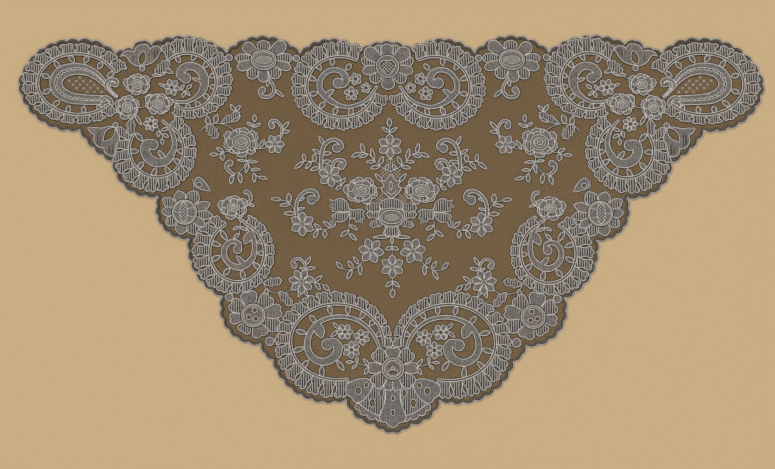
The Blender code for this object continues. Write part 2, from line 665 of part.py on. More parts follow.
def motif_plan():
    """Every motif as (name, loops to cover, loops to cut), in the order in which they take their places."""
    plan = [("top_medallion", centre_flower_loops(TOP_MEDALLION), []),
            ("point_medallion", centre_flower_loops(POINT_MEDALLION), [])]
    for side, half in ((-1, "left"), (1, "right")):
        for name, flower in FLOWERS.items():
            loops = [mirrored(loop, side) for loop in flower_loops(flower)] + spray_loops(name, side)
            plan.append((f"{name}_{half}", loops, []))
        plan.append((f"joining_roses_{half}", spray_loops("joining_roses", side), []))
        plan.append((f"ring_rose_{half}", spray_loops("ring_rose", side), []))
        for name, (leaves, opening) in FANS.items():
            plan.append((f"{name}_{half}", [mirrored(leaf_loop(leaf), side) for leaf in leaves],
                         [mirrored(oval(*opening[:4], 8, opening[4]), side)]))
        plan.append((f"shell_side_{half}", [mirrored(SHELL_PETAL, side), mirrored(SHELL_RIBBED, side)], []))
    plan.append(("shell_wedge", [both_halves(SHELL_WEDGE)], [oval(*hole, 6) for hole in SHELL_HOLES]))
    for side, half in ((-1, "left"), (1, "right")):
        for ring in RINGS:
            plan.append((f"ruffle_{ring.name}_{half}", [mirrored(ruffle_loop(ring), side)], []))
        for name, scroll in VOLUTES.items():
            loops = scroll_loops(scroll, 8) + [leaf_loop(thorn) for thorn in THORNS.get(name, [])]
            plan.append((f"volute_{name}_{half}", [mirrored(loop, side) for loop in loops], []))
    plan += [(name, centre_loops(name), []) for name in CENTRE_LINES]
    for side, half in ((-1, "left"), (1, "right")):
        for name in ("rose_spray", "scroll_sprig", "corner_sprig", "bouquet_side", "lower_spray"):
            plan.append((f"{name}_{half}", spray_loops(name, side), []))
    return plan


def box_of(points):
    outs, ups = [point[0] for point in points], [point[1] for point in points]
    return min(outs), min(ups), max(outs), max(ups)


def boxes_meet(a, b):
    reach = 2 * SIDE_GAP
    return a[0] - reach < b[2] and b[0] - reach < a[2] and a[1] - reach < b[3] and b[1] - reach < a[3]


def clear_scene():
    for thing in list(bpy.data.objects):
        bpy.data.objects.remove(thing)


def make_net(outline):
    slab("net_ground", *filled([outline]), 0.0, NET_WALL, NET_COLOUR)


def make_motifs():
    """Plates that lie side by side on the net, each cut back where an earlier one already lies."""
    placed = []
    for name, add, cut in motif_plan():
        box = box_of([point for loop in add for point in loop])
        near = [loop for other, loops in placed if boxes_meet(box, other) for loop in loops]
        outline = rim_loops(*merged_area(add, [*cut, *near]))
        corners, triangles = joined(*filled([simplified(loop) for loop in outline]))
        placed.append((box, keep_off(add, corners, triangles)))
        slab(name, corners, triangles, MOTIF_BASE, MOTIF_TOP, TOILE_COLOUR)


EDGE = edge_outline()
OUTLINE_TOP = max(up for out, up in EDGE)
OUTLINE_DEPTH = OUTLINE_TOP - min(up for out, up in EDGE)
LAID_BOX = box_of([(out + swung(up), up) for out, up in EDGE])
CENTRE = ((LAID_BOX[0] + LAID_BOX[2]) / 2, (LAID_BOX[1] + LAID_BOX[3]) / 2)

clear_scene()
make_net(EDGE)
make_motifs()
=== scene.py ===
# %% [markdown]
# # A lace mantilla laid flat
#
# The real piece is one triangle of fine machine net. Motifs are worked into it with a closer cloth,
# called toile, and every motif is drawn round with a thicker, brighter thread, called gimp. The edge is a
# row of small scallops with tiny loops, called picots, on it.
#
# The CAD solids give each part its place. Here they are dressed: the net gets its open mesh, every motif
# gets its real outline, slots and openings, and the gimp is laid on top as cords.

# %% Load the frame
import math
from collections import namedtuple

import bpy
import numpy as np
from mathutils import Matrix, Vector
from mathutils.geometry import delaunay_2d_cdt


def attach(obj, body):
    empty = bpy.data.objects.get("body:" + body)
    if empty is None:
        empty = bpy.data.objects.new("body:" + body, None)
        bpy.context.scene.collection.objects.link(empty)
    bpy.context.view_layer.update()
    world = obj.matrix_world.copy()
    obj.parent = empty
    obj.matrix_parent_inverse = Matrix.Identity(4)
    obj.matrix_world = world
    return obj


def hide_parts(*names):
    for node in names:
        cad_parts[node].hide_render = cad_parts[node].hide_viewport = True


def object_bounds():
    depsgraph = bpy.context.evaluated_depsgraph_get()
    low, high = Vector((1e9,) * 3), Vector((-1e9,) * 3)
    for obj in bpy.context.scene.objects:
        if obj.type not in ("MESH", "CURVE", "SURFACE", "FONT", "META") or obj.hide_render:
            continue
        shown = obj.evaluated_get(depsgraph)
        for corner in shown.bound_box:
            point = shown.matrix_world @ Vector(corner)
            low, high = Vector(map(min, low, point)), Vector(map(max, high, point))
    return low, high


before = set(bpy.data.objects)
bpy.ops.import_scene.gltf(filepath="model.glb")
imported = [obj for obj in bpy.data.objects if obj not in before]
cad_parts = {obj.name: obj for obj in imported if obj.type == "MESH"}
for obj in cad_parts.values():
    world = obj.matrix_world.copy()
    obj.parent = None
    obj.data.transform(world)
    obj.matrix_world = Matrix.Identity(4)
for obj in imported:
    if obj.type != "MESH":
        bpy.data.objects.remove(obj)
cad_box = [list(corner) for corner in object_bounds()]
print("solids in the frame:", len(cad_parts))

# %% [markdown]
# ## Heights and widths of the layers
#
# Lace is flat, so it is drawn in a plane first and given its thickness last. Drawing sizes are in
# millimetres on one half of the piece: "out" from the centre line and "up" from the middle. Heights are
# stacked from the floor: net, a dark close ground under each motif, which also paints the shade beside
# the gimp, toile, and the gimp that stands on it.

# %% Layer sizes
MM = 0.001

# Heights over the floor and widths, in millimetres.
NET_TOP = 0.40
GROUND_TOP = 0.62
TOILE_BASE = 0.70
TOILE_TOP = 1.45
GIMP_WIDTH = 1.4
GIMP_HEIGHT = 1.3
# The dark close ground under each gimp line is wider than the cord, so it shows on both sides as painted
# shade.
GROUND_AND_PAINTED_SHADE_WIDTH = 4.4
SLOT_WIDTH = 2.2
CORD_BAND = 4.4
# Thinner cords, as shares of the gimp: round openings, light outlines and the finest threads.
OPENING_GIMP = 0.85
LIGHT_GIMP = 0.8
FINE = 0.62
# Points of a curve stand a step apart. Those that barely stand off a straight line are dropped later.
STEP = 1.1
FAIR = 0.10
MERGE = 0.02
print("height of the lace in mm:", TOILE_TOP + GIMP_HEIGHT / 2)

# %% [markdown]
# ## The camera first
#
# The photograph looks straight down on the lace. At this scale one pixel of it is 1.88 mm, which settles
# how wide the camera must see. A long lens from high up keeps the far corners as upright as the middle.

# %% Camera
PICTURE_WIDTH, PICTURE_HEIGHT = 775, 469
PIXEL_MM = 1.882
LACE_MIDDLE_X, LACE_MIDDLE_Y = 390.3, 233.5
CAMERA_HEIGHT = 3.0
SENSOR_WIDTH = 36.0


def make_camera():
    data = bpy.data.cameras.new("photo_camera")
    data.sensor_width = SENSOR_WIDTH
    data.lens = SENSOR_WIDTH * CAMERA_HEIGHT / (PICTURE_WIDTH * PIXEL_MM * MM)
    camera = bpy.data.objects.new("photo_camera", data)
    bpy.context.scene.collection.objects.link(camera)
    aside = (PICTURE_WIDTH / 2 - LACE_MIDDLE_X) * PIXEL_MM * MM
    away = (LACE_MIDDLE_Y - PICTURE_HEIGHT / 2) * PIXEL_MM * MM
    camera.location = (aside, away, CAMERA_HEIGHT)
    bpy.context.scene.camera = camera
    print("lens in mm:", round(data.lens, 1))


make_camera()

# %% [markdown]
# ## Curves through a few points
#
# A motif is given by the few points that its shape needs. A smooth curve through them could be a Bezier
# curve object, but working on plain arrays of points lets one motif hide part of another before any mesh
# is made. A point that is given twice makes a corner.

# %% Smooth curves and ovals
def curve_through(points, closed):
    """Points about STEP apart on a smooth curve through the given ones, with any number of columns."""
    rows = np.asarray(points, float)
    if closed:
        before, start, end, after = np.roll(rows, 1, 0), rows, np.roll(rows, -1, 0), np.roll(rows, -2, 0)
    else:
        padded = np.concatenate([rows[:1], rows, rows[-1:]])
        before, start, end, after = padded[:-3], padded[1:-2], padded[2:-1], padded[3:]
    found = []
    for a, b, c, d in zip(before, start, end, after):
        steps = math.ceil(np.hypot(*(c - b)[:2]) / STEP)
        if steps == 0:
            continue
        t = (np.arange(steps) / steps)[:, None]
        found.append(0.5 * (2 * b + (c - a) * t + (2 * a - 5 * b + 4 * c - d) * t ** 2
                            + (3 * b - a - 3 * c + d) * t ** 3))
    if not closed:
        found.append(rows[-1:])
    return np.concatenate(found)


FEWEST_SIDES = 8


def oval(out, up, wide, high, tilt=0.0):
    sides = max(FEWEST_SIDES, round(2 * math.pi * max(wide, high) / STEP))
    turns = 2 * math.pi * np.arange(sides) / sides
    lean = math.radians(tilt)
    along, across = wide * np.cos(turns), high * np.sin(turns)
    return np.column_stack([out + along * math.cos(lean) - across * math.sin(lean),
                            up + along * math.sin(lean) + across * math.cos(lean)])


# %% Placing a form and mirroring it
def placer(out, up, angle, long, wide):
    """A function that puts rows of (part of the length, share of the width) on the lace, from a foot."""
    turn = math.radians(angle)
    along = np.array([math.cos(turn), math.sin(turn)])
    side = np.array([-along[1], along[0]])

    def place(rows):
        rows = np.asarray(rows, float)
        return np.array([out, up]) + along * (long * rows[:, :1]) + side * (wide * rows[:, 1:2])

    return place


def placer_between(out, up, tip_out, tip_up, width):
    """A placer for a form that runs from its foot to its tip."""
    angle = math.degrees(math.atan2(tip_up - up, tip_out - out))
    return placer(out, up, angle, math.hypot(tip_out - out, tip_up - up), width)


def whole(half, middle=0.0):
    """Rows of (part, share) on one side of the middle share, and their mirror images on the other."""
    return [*half, *((part, 2 * middle - share) for part, share in half[::-1] if share != middle)]


def both_halves(half):
    """An outline given on one half, closed by its mirror image."""
    half = np.asarray(half, float)
    return np.concatenate([half, [(-out, up) for out, up in half[::-1] if out > MERGE]])


# %% Fewer points, and what lies inside
def faired(points, closed=False, tolerance=FAIR):
    """The same line with only the points that its shape needs."""
    points = np.asarray(points, float)
    if closed:
        far = int(np.argmax(np.hypot(*(points - points[0]).T)))
        halves = points[: far + 1], np.concatenate([points[far:], points[:1]])
        return np.concatenate([faired(half, False, tolerance)[:-1] for half in halves])
    keep, waiting = {0, len(points) - 1}, [(0, len(points) - 1)]
    while waiting:
        first, last = waiting.pop()
        if last - first < 2:
            continue
        chord = points[last] - points[first]
        off = points[first + 1:last] - points[first]
        away = np.abs(chord[0] * off[:, 1] - chord[1] * off[:, 0]) / max(np.hypot(*chord), MERGE)
        worst = int(np.argmax(away))
        if away[worst] > tolerance:
            keep.add(first + 1 + worst)
            waiting += [(first, first + 1 + worst), (first + 1 + worst, last)]
    return points[sorted(keep)]


def inside(spots, loop):
    """Whether each spot lies within the loop, by counting the edges on its right."""
    found = np.zeros(len(spots), bool)
    near = ((spots > loop.min(0)) & (spots < loop.max(0))).all(1)
    if not near.any():
        return found
    start, end = loop, np.roll(loop, -1, 0)
    rise = np.where(end[:, 1] == start[:, 1], MERGE / 100, end[:, 1] - start[:, 1])
    level = (spots[near, 1][:, None] - start[:, 1]) / rise
    crossing = start[:, 0] + (end[:, 0] - start[:, 0]) * level
    right = (level >= 0) & (level < 1) & (spots[near, 0][:, None] < crossing)
    found[near] = right.sum(1) % 2 == 1
    return found


def inside_any(spots, loops):
    found = np.zeros(len(spots), bool)
    for loop in loops:
        found |= inside(spots, loop)
    return found


# %% [markdown]
# ## Worked forms, from the top down
#
# In lace the petals, leaves and bands never cross: where two meet, one stops at the other's gimp. So each
# form is listed from the top down, and a form hides whatever later forms have there. A form can have
# openings, drawn round with gimp, slots without it, and fine lines of thread of its own. Where the ground
# must show dark with no gimp beside it, as in a ring round a flower's eye, the form names dark lines, which
# the close ground follows: partly a denser ground, partly painted shade.

# %% Worked forms
class Form:
    """One worked form, with the loops that bound it together."""

    def __init__(self, loops, openings=(), slots=(), lines=(), dark=(), cloth=True, gimp=1.0):
        self.loops = list(loops)
        self.openings = list(openings)
        self.slots = list(slots)
        self.lines = list(lines)
        self.dark = list(dark)
        self.cloth = cloth
        self.gimp = gimp
        corners = np.concatenate(self.loops + self.lines)
        self.low, self.high = corners.min(0), corners.max(0)

    def meets(self, other):
        return bool((self.low < other.high).all() and (other.low < self.high).all())


SLOT_TAPER = 0.5


def slot_between(a, b, width=SLOT_WIDTH):
    """A narrow open slot from one point to the other, tapered to its end."""
    along = (b - a) / max(np.hypot(*(b - a)), MERGE)
    side = np.array([-along[1], along[0]]) * width / 2
    return np.array([a - side, b - side * SLOT_TAPER, b + side * SLOT_TAPER, a + side])


def middle_line(slot):
    """The line from one end of a slot to the other."""
    half = len(slot) // 2
    return np.array([(slot[0] + slot[-1]) / 2, (slot[half - 1] + slot[half]) / 2])


# %% Ribs
# Slots and threads take turns half a pitch apart. A rib of fewer steps than the shortest is left out.
RIB_PITCH = 4.3
FIRST_RIB = 0.7
RIB_MARGIN = 2.3
RIB_STEP = 0.5
SHORTEST_RIB = 8


def upright_ribs(outline, keep_off=()):
    """Slots and threads in turn that run up the outline, clear of its edge and of some openings."""
    slots, lines = [], []
    low, high = outline.min(0), outline.max(0)
    bounds = [outline, *keep_off]
    for number, out in enumerate(np.arange(low[0] + RIB_PITCH * FIRST_RIB, high[0], RIB_PITCH / 2)):
        ups = np.arange(low[1], high[1], RIB_STEP)
        spots = np.column_stack([np.full(len(ups), out), ups])
        free = inside(spots, outline) & ~inside_any(spots, keep_off)
        for loop in bounds:
            out_off, up_off = (spots[:, None, axis] - loop[None, :, axis] for axis in (0, 1))
            free &= np.hypot(out_off, up_off).min(1) > RIB_MARGIN
        starts = np.flatnonzero(free & ~np.roll(free, 1))
        ends = np.flatnonzero(free & ~np.roll(free, -1))
        for first, last in zip(starts, ends):
            if last - first < SHORTEST_RIB:
                continue
            pair = spots[[first, last]]
            if number % 2:
                lines.append(pair)
            else:
                slots.append(slot_between(*pair))
    return slots, lines


def ribbed_form(outline, openings=()):
    slots, lines = upright_ribs(outline, openings)
    return Form([outline], openings=openings, slots=slots, lines=lines)


# %% Leaves and stems
POINTED_ENDS = 0.9
FULL_SIDES = 0.8
FEWEST_STEPS = 6


def leaf_outline(out, up, tip_out, tip_up, width):
    place = placer_between(out, up, tip_out, tip_up, width)
    steps = max(FEWEST_STEPS, round(math.hypot(tip_out - out, tip_up - up) / STEP))
    part = np.linspace(0, 1, steps)
    half = 0.5 * np.sin(np.pi * part ** POINTED_ENDS) ** FULL_SIDES
    there = np.column_stack([part, half])[:-1]
    back = np.column_stack([part, -half])[:0:-1]
    return place(np.concatenate([there, back]))


# The toile of a leaf stops a little short of the leaf's ends, and a broad one has a slit for a midrib.
LEAF_FROM, LEAF_TO = 0.05, 0.96
LEAF_NARROW = 0.86
SLIT_FROM_WIDTH = 6.9
SLIT_SHARE = 0.26
SLIT_FROM, SLIT_TO = 0.28, 0.72


def leaf(out, up, tip_out, tip_up, width):
    """A pointed leaf with its midrib left open, where it is wide enough for that."""
    start, end = np.array([out, up]), np.array([tip_out, tip_up])
    foot, tip = start + (end - start) * LEAF_FROM, start + (end - start) * LEAF_TO
    outline = leaf_outline(*foot, *tip, width * LEAF_NARROW)
    slots = []
    if width >= SLIT_FROM_WIDTH:
        near, far = foot + (tip - foot) * SLIT_FROM, foot + (tip - foot) * SLIT_TO
        slots.append(leaf_outline(*near, *far, width * SLIT_SHARE))
    return Form([outline], slots=slots)


# Each tooth has a valley and a peak. Both stand at a part of the tooth's own step, and their share of the
# width follows a bow that starts at bow_from and runs on by bow over the whole leaf.
ToothPoint = namedtuple("ToothPoint", "part share bow_from bow")
TOOTH = [ToothPoint(0.15, 0.34, 0.15, 0.70), ToothPoint(1.10, 0.58, 0.12, 0.75)]
TEETH_END = 0.6
LEAF_FOOT, LEAF_TIP = (0.0, 0.10), [(0.93, 0.09), (1.0, 0.0)]


def toothed_leaf(out, up, tip_out, tip_up, width, teeth):
    """A broad leaf with teeth that lean to its tip, and upright ribs."""
    edge = [LEAF_FOOT]
    for tooth in range(teeth):
        for point in TOOTH:
            part = (tooth + point.part) / (teeth + TEETH_END)
            edge.append((part, point.share * math.sin(math.pi * (point.bow_from + point.bow * part))))
    corners = placer_between(out, up, tip_out, tip_up, width)(whole(edge + LEAF_TIP))
    return ribbed_form(curve_through(np.repeat(corners, 2, axis=0), True))


def stem(points):
    """A stem is one line of fine gimp with no toile."""
    return Form([], lines=[curve_through(points, False)], cloth=False, gimp=0.0)


# %% [markdown]
# ## The edge of the piece
#
# The outline is a chain of arcs, one lobe for each ring or flower that stands at the edge, and every lobe
# carries small scallops. One formula gives both, so the table below holds only the notches between the
# lobes.

# %% Edge of the piece
Lobe = namedtuple("Lobe", "name out up bulge")
# Each lobe of the edge ends in a notch at (out, up). Its bulge is its height over half of its chord.
CENTRE_LOBE = Lobe("centre", 50, 349, 0.31)
LOBES = [
    Lobe("ring_c", 164, 344, 0.40),
    Lobe("top_flower", 303, 345, 0.43),
    Lobe("ring_a", 445, 360, 0.29),
    Lobe("upper_fan", 481, 352, 0.60),
    Lobe("upper_fan_side", 514, 342, 0.15),
    Lobe("end_top", 583, 367, 0.24),
    Lobe("end_tip_upper", 699, 281, 0.38),
    Lobe("end_tip_lower", 585, 195, 0.42),
    Lobe("lower_fan", 523, 135, 0.15),
    Lobe("ring_b", 437, 70, 0.44),
    Lobe("edge_flower_d", 381, -11, 0.56),
    Lobe("ring_e", 319, -120, 0.33),
    Lobe("edge_flower_f", 247, -210, 0.52),
    Lobe("ring_g_side", 224, -240, 0.28),
    Lobe("ring_g", 87, -314, 0.42),
    Lobe("shell_side", 35, -360, 0.30),
    Lobe("shell_point", 0, -376, 0.18),
]

# %% Arcs and scallops of the edge
SCALLOP_PITCH = 23.5
SCALLOP_BULGE = 0.42
SCALLOP_SIDES = 9
EDGE_IN = 2.0


def arc(start, end, bulge, steps):
    """Points from start up to, not including, end on an arc that stands bulge half-chords to the left."""
    start, end = np.array(start, float), np.array(end, float)
    chord = np.hypot(*(end - start))
    across = np.array([start[1] - end[1], end[0] - start[0]]) / chord
    sweep = 4 * math.atan(bulge)
    radius = chord / 2 / math.sin(sweep / 2)
    centre = (start + end) / 2 - across * radius * math.cos(sweep / 2)
    facing = math.atan2(across[1], across[0])
    turns = facing + sweep / 2 - sweep * np.arange(steps) / steps
    return centre + radius * np.column_stack([np.cos(turns), np.sin(turns)])


def edge_outline():
    """The scalloped edge of the whole piece, clockwise from the first notch right of the centre."""
    right = [(CENTRE_LOBE.out, CENTRE_LOBE.up)]
    arcs = []
    for lobe in LOBES:
        arcs.append((right[-1], (lobe.out, lobe.up), lobe.bulge))
        right.append((lobe.out, lobe.up))
    arcs += [((-b[0], b[1]), (-a[0], a[1]), bulge) for a, b, bulge in reversed(arcs)]
    arcs.append(((-CENTRE_LOBE.out, CENTRE_LOBE.up), right[0], CENTRE_LOBE.bulge))
    outline = []
    for start, end, bulge in arcs:
        scallops = max(1, round(math.dist(start, end) * (1 + bulge * bulge) / SCALLOP_PITCH))
        feet = np.concatenate([arc(start, end, bulge, scallops), [end]])
        outline += [arc(foot, after, SCALLOP_BULGE, SCALLOP_SIDES) for foot, after in zip(feet, feet[1:])]
    return np.concatenate(outline)


def moved_in(loop, distance):
    """A closed clockwise loop moved inwards."""
    along = np.roll(loop, -1, 0) - np.roll(loop, 1, 0)
    along /= np.hypot(*along.T)[:, None]
    return loop + np.column_stack([along[:, 1], -along[:, 0]]) * distance


EDGE = moved_in(edge_outline(), EDGE_IN)

# %% [markdown]
# ## How the lace lies
#
# The two halves are worked alike, but a soft length never lies quite square: its point has swung to one
# side, and here and there it is drawn a few millimetres out or in. A low-order surface over the piece
# gives that, and every line and plate goes through it, so net, toile and cords stay together.

# %% As the lace lies
EDGE_TOP, EDGE_DEPTH = 377.1, 753.1
POINT_SWING = 6.5
MIDDLE = (0.85, 0.55)
HALF_WIDE, HALF_HIGH = 700.0, 375.0
# Shifts in mm: a constant, then the shares of x, y, x*y, x*x and y*y, each from -1 to 1 over the piece.
# They weren't read by eye: another script fitted them by least squares to how far parts of an earlier
# render stood off the photograph.
LIE_OUT = (0.6, 6.2, -2.6, -5.7, 5.5, -4.4)
LIE_UP = (-1.2, -2.6, -2.1, 3.6, 2.7, 0.1)


def as_it_lies(points):
    """Drawing points where they come to lie, in millimetres from the middle of the lace."""
    points = np.asarray(points, float)
    swing = POINT_SWING * (EDGE_TOP - points[:, 1]) / EDGE_DEPTH
    flat = points - MIDDLE + np.column_stack([swing, 0 * swing])
    x, y = flat[:, 0] / HALF_WIDE, flat[:, 1] / HALF_HIGH
    powers = np.column_stack([1 + 0 * x, x, y, x * y, x * x, y * y])
    return flat + powers @ np.column_stack([LIE_OUT, LIE_UP])


def laid(points, height):
    """Drawing points in millimetres, put on the lace in metres at one height."""
    flat = as_it_lies(points) * MM
    return np.column_stack([flat, np.full(len(flat), height * MM)])


print("points on the edge:", len(EDGE))

# %% [markdown]
# ## Round flowers of the border
#
# Each flower is a ring of petals round an eye. One table row gives a petal's angle, reach and width, and
# a short list of (part of the length, share of the width) gives the petal's form, so all petals come from
# three forms. Every second petal has ribs, and all ribs stand upright, because they follow the threads of
# the net, whichever way the petal points. A dark ring of close ground, partly painted shade, parts the eye
# from its petals.

# %% Border flowers
Flower = namedtuple("Flower", "out up wide high petals")
# Round flowers of the border: petals are rows of (angle, reach, width) round an eye wide by high.
FLOWERS = {
    "top_flower": Flower(233, 330, 23.5, 18.5, [
        (39, 47, 22.5), (92, 36.5, 24.5), (142, 52.5, 23.5), (176, 54.5, 19), (197, 53.5, 17),
        (230, 43.5, 22.5), (273, 42.5, 20.5), (310, 45, 20.5), (343, 52.5, 19), (4, 53.5, 17)]),
    "edge_flower_d": Flower(388, 40, 22.5, 23, [
        (74, 42.5, 22.5), (120, 47, 24.5), (161, 52, 18), (187, 54.5, 18), (214, 47, 16), (244, 48, 22.5),
        (282, 43.5, 22.5), (326, 42.5, 20), (2, 43.5, 18), (32, 49, 19)]),
    "edge_flower_f": Flower(260, -155, 22, 21.5, [
        (77, 47, 30), (130, 49, 26.5), (169, 54.5, 26.5), (205, 52.5, 26.5), (248, 43.5, 30),
        (303, 38.5, 24.5), (350, 45, 20.5), (29, 49, 26.5)]),
}
TOP_MEDALLION = Flower(0, 318, 21, 21, [
    (90, 42, 24), (64, 44, 21), (38, 52, 25), (14, 50, 19), (348, 48, 18), (317, 43, 21), (270, 44, 24)])
POINT_MEDALLION = Flower(0, -254, 20, 20.5, [
    (90, 40.5, 26.5), (44, 48, 26), (2, 47, 20.5), (320, 49, 26), (284, 43, 16)])

ROUND_PETAL = whole([(0.0, -0.26), (0.3, -0.42), (0.6, -0.5), (0.86, -0.38), (1.0, 0.0)])
POINTED_PETAL = whole([(0.0, -0.26), (0.3, -0.45), (0.55, -0.5), (0.8, -0.32), (1.0, 0.0), (1.0, 0.0)])
HEART_PETAL = whole([
    (0.0, -0.22), (0.35, -0.42), (0.65, -0.52), (0.88, -0.44), (0.98, -0.22), (0.9, 0.0), (0.9, 0.0)])
PETAL_FORMS = {
    "top_flower": ROUND_PETAL, "top_medallion": ROUND_PETAL, "edge_flower_d": POINTED_PETAL,
    "edge_flower_f": HEART_PETAL, "point_medallion": HEART_PETAL}
PETAL_FOOT = 0.86


def petal(flower, row, form, ribbed):
    angle, reach, width = row
    turn = math.radians(angle)
    foot = PETAL_FOOT * math.hypot(flower.wide * math.cos(turn), flower.high * math.sin(turn))
    out, up = flower.out + foot * math.cos(turn), flower.up + foot * math.sin(turn)
    outline = curve_through(placer(out, up, angle, reach - foot, width)(form), True)
    return ribbed_form(outline) if ribbed else Form([outline])


# %% [markdown]
# ## Eyes of the flowers
#
# Five eyes are used: an open lens with a lattice, a tall open almond with a lattice between folds, three
# small circles, a shield with a wider lattice, and a bead under two slits. All are given in shares of the
# eye's half width and half height.

# %% Rings and lattices
EYE_GAP = 2.6
LATTICE_PITCH = 4.4
LATTICE_REACH = 0.9
SHORTEST_THREAD = 0.3


def dark_ring(out, up, wide, high, gap=EYE_GAP):
    """A ring of bare close ground round an oval, partly painted shade."""
    return Form([oval(out, up, wide + gap, high + gap)], cloth=False, gimp=0.0,
                dark=[oval(out, up, wide + gap / 2, high + gap / 2)])


def lattice(out, up, wide, high, pitch=LATTICE_PITCH):
    """Fine threads that cross an open oval both ways, each cut off at its edge."""
    lines = []
    for offset in np.arange(-wide - high, wide + high, pitch) + pitch / 2:
        inner = wide * wide + high * high - offset * offset
        if inner < (SHORTEST_THREAD * wide) ** 2:
            continue
        middle = -offset * wide * wide / (wide * wide + high * high)
        reach = LATTICE_REACH * wide * high * math.sqrt(inner) / (wide * wide + high * high)
        ends = [(middle + side * reach, middle + side * reach + offset) for side in (-1, 1)]
        lines += [np.array([(out + lean * x, up + y) for x, y in ends]) for lean in (-1, 1)]
    return lines


# %% Parts of an eye
def spot_of(place, out_share, up_share):
    """A point in an eye, in shares of its half width and half height."""
    out, up, wide, high = place
    return out + out_share * wide, up + up_share * high


def part_of(place, out_share, up_share, wide_share, high_share):
    """The place of a smaller oval in an eye."""
    return (*spot_of(place, out_share, up_share), wide_share * place[2], high_share * place[3])


def oval_in(place, shares):
    return oval(*part_of(place, *shares))


def slit_in(place, start, end, width):
    """A slit between two points of an eye. Its width is in millimetres."""
    return leaf_outline(*spot_of(place, *start), *spot_of(place, *end), width)


# %% The five eyes
# Ovals are (out, up, wide, high) in shares of the eye, and a field is the toile that they are worked on.
LENS, LENS_FIELD = (0, 0, 0.66, 0.40), (0, 0.06, 0.86, 0.76)
LENS_GAP = 1.2


def lens_eye(place):
    lens = part_of(place, *LENS)
    return [Form([oval(*lens)], lines=lattice(*lens), cloth=False, gimp=FINE),
            dark_ring(*lens, gap=LENS_GAP),
            Form([oval_in(place, LENS_FIELD)], gimp=FINE)]


ALMOND, ALMOND_FIELD = (0.07, 0, 0.34, 0.84), (0, 0, 0.9, 0.9)
ALMOND_PITCH = 6.0
ALMOND_FOLDS = [
    ((0.4, -0.06), (0.86, 0.05)), ((-0.26, 0.3), (-0.74, 0.42)), ((-0.26, -0.28), (-0.74, -0.36))]


def almond_eye(place):
    column = part_of(place, *ALMOND)
    lines = [np.array([spot_of(place, *end) for end in fold]) for fold in ALMOND_FOLDS]
    return [Form([oval(*column)], lines=lattice(*column, pitch=ALMOND_PITCH), cloth=False, gimp=LIGHT_GIMP),
            Form([oval_in(place, ALMOND_FIELD)], lines=lines, dark=lines, gimp=FINE)]


CIRCLES = [(0.36, -0.16, 0.2, 0.2), (-0.22, -0.3, 0.2, 0.2), (-0.12, 0.46, 0.2, 0.2)]
CIRCLES_FIELD = (0, 0, 0.84, 0.84)
CIRCLES_SLIT = ((0.62, 0.2), (0.15, 0.62), 3.4)


def circles_eye(place):
    openings = [oval_in(place, circle) for circle in CIRCLES]
    slits = [slit_in(place, *CIRCLES_SLIT)]
    return [Form([oval_in(place, CIRCLES_FIELD)], openings=openings, slots=slits, gimp=FINE)]


SHIELD = both_halves([(0.0, 0.5), (0.38, 0.5), (0.7, 0.16), (0.5, -0.4), (0.0, -0.76)])
SHIELD_LATTICE = (0, -0.06, 0.6, 0.56)
SHIELD_PITCH = 6.6


def shield_eye(place):
    threads = lattice(*part_of(place, *SHIELD_LATTICE), pitch=SHIELD_PITCH)
    shield = curve_through(SHIELD * place[2:] + place[:2], True)
    return [Form([shield], lines=threads, cloth=False, gimp=LIGHT_GIMP)]


BEAD, MOONS_OPENING, MOONS_FIELD = (0, 0.05, 0.15, 0.15), (0, -0.36, 0.46, 0.25), (0, 0, 0.76, 0.76)
MOONS = [((0.0, 0.44), (0.52, 0.04), 4.6), ((-0.5, 0.04), (-0.12, 0.38), 4.0)]


def moons_eye(place):
    slits = [slit_in(place, *moon) for moon in MOONS]
    openings = [oval_in(place, MOONS_OPENING)]
    return [Form([oval_in(place, BEAD)], gimp=FINE),
            Form([oval_in(place, MOONS_FIELD)], openings=openings, slots=slits, gimp=LIGHT_GIMP)]


EYE_FORMS = {
    "top_flower": lens_eye, "edge_flower_d": almond_eye, "edge_flower_f": circles_eye,
    "top_medallion": shield_eye, "point_medallion": moons_eye}


def eye(name, flower):
    place = flower[:4]
    return EYE_FORMS[name](place) + [Form([oval(*place)]), dark_ring(*place)]


def flower_forms(name, flower):
    petals = [petal(flower, row, PETAL_FORMS[name], index % 2 == 1)
              for index, row in enumerate(flower.petals)]
    return eye(name, flower) + petals[::2] + petals[1::2]


# %% Flowers
def mirrored(form):
    """The same form on the other half."""
    parts = (form.loops, form.openings, form.slots, form.lines, form.dark)
    return Form(*[[line * (-1, 1) for line in lines] for lines in parts], form.cloth, form.gimp)


def centre_flower_forms(name, flower):
    """A flower on the centre line: its eye, the petals of one half and their mirror images."""
    forms = flower_forms(name, flower)
    eye_count = len(eye(name, flower))
    return forms + [mirrored(form) for form in forms[eye_count:]]


motifs = {
    "top_medallion": centre_flower_forms("top_medallion", TOP_MEDALLION),
    "point_medallion": centre_flower_forms("point_medallion", POINT_MEDALLION),
}
for name, flower in FLOWERS.items():
    motifs[name] = flower_forms(name, flower)
print("forms in the border flowers:", sum(len(forms) for forms in motifs.values()))

# %% [markdown]
# ## Roses, star flowers, scrolls and stems
#
# A rose has two layers of blunt petals about a round heart, where a thread winds outwards. A star has
# pointed petals about a small ring. A scroll is a band whose width changes along its path and that ends
# in a round eye. Its band and eye are one form, so the gimp runs round both together and not between
# them.

# %% Roses
Scroll = namedtuple("Scroll", "eye_out eye_up eye path")
Star = namedtuple("Star", "out up reach petals turn")
Rose = namedtuple("Rose", "out up wide high reach flat petals turn")
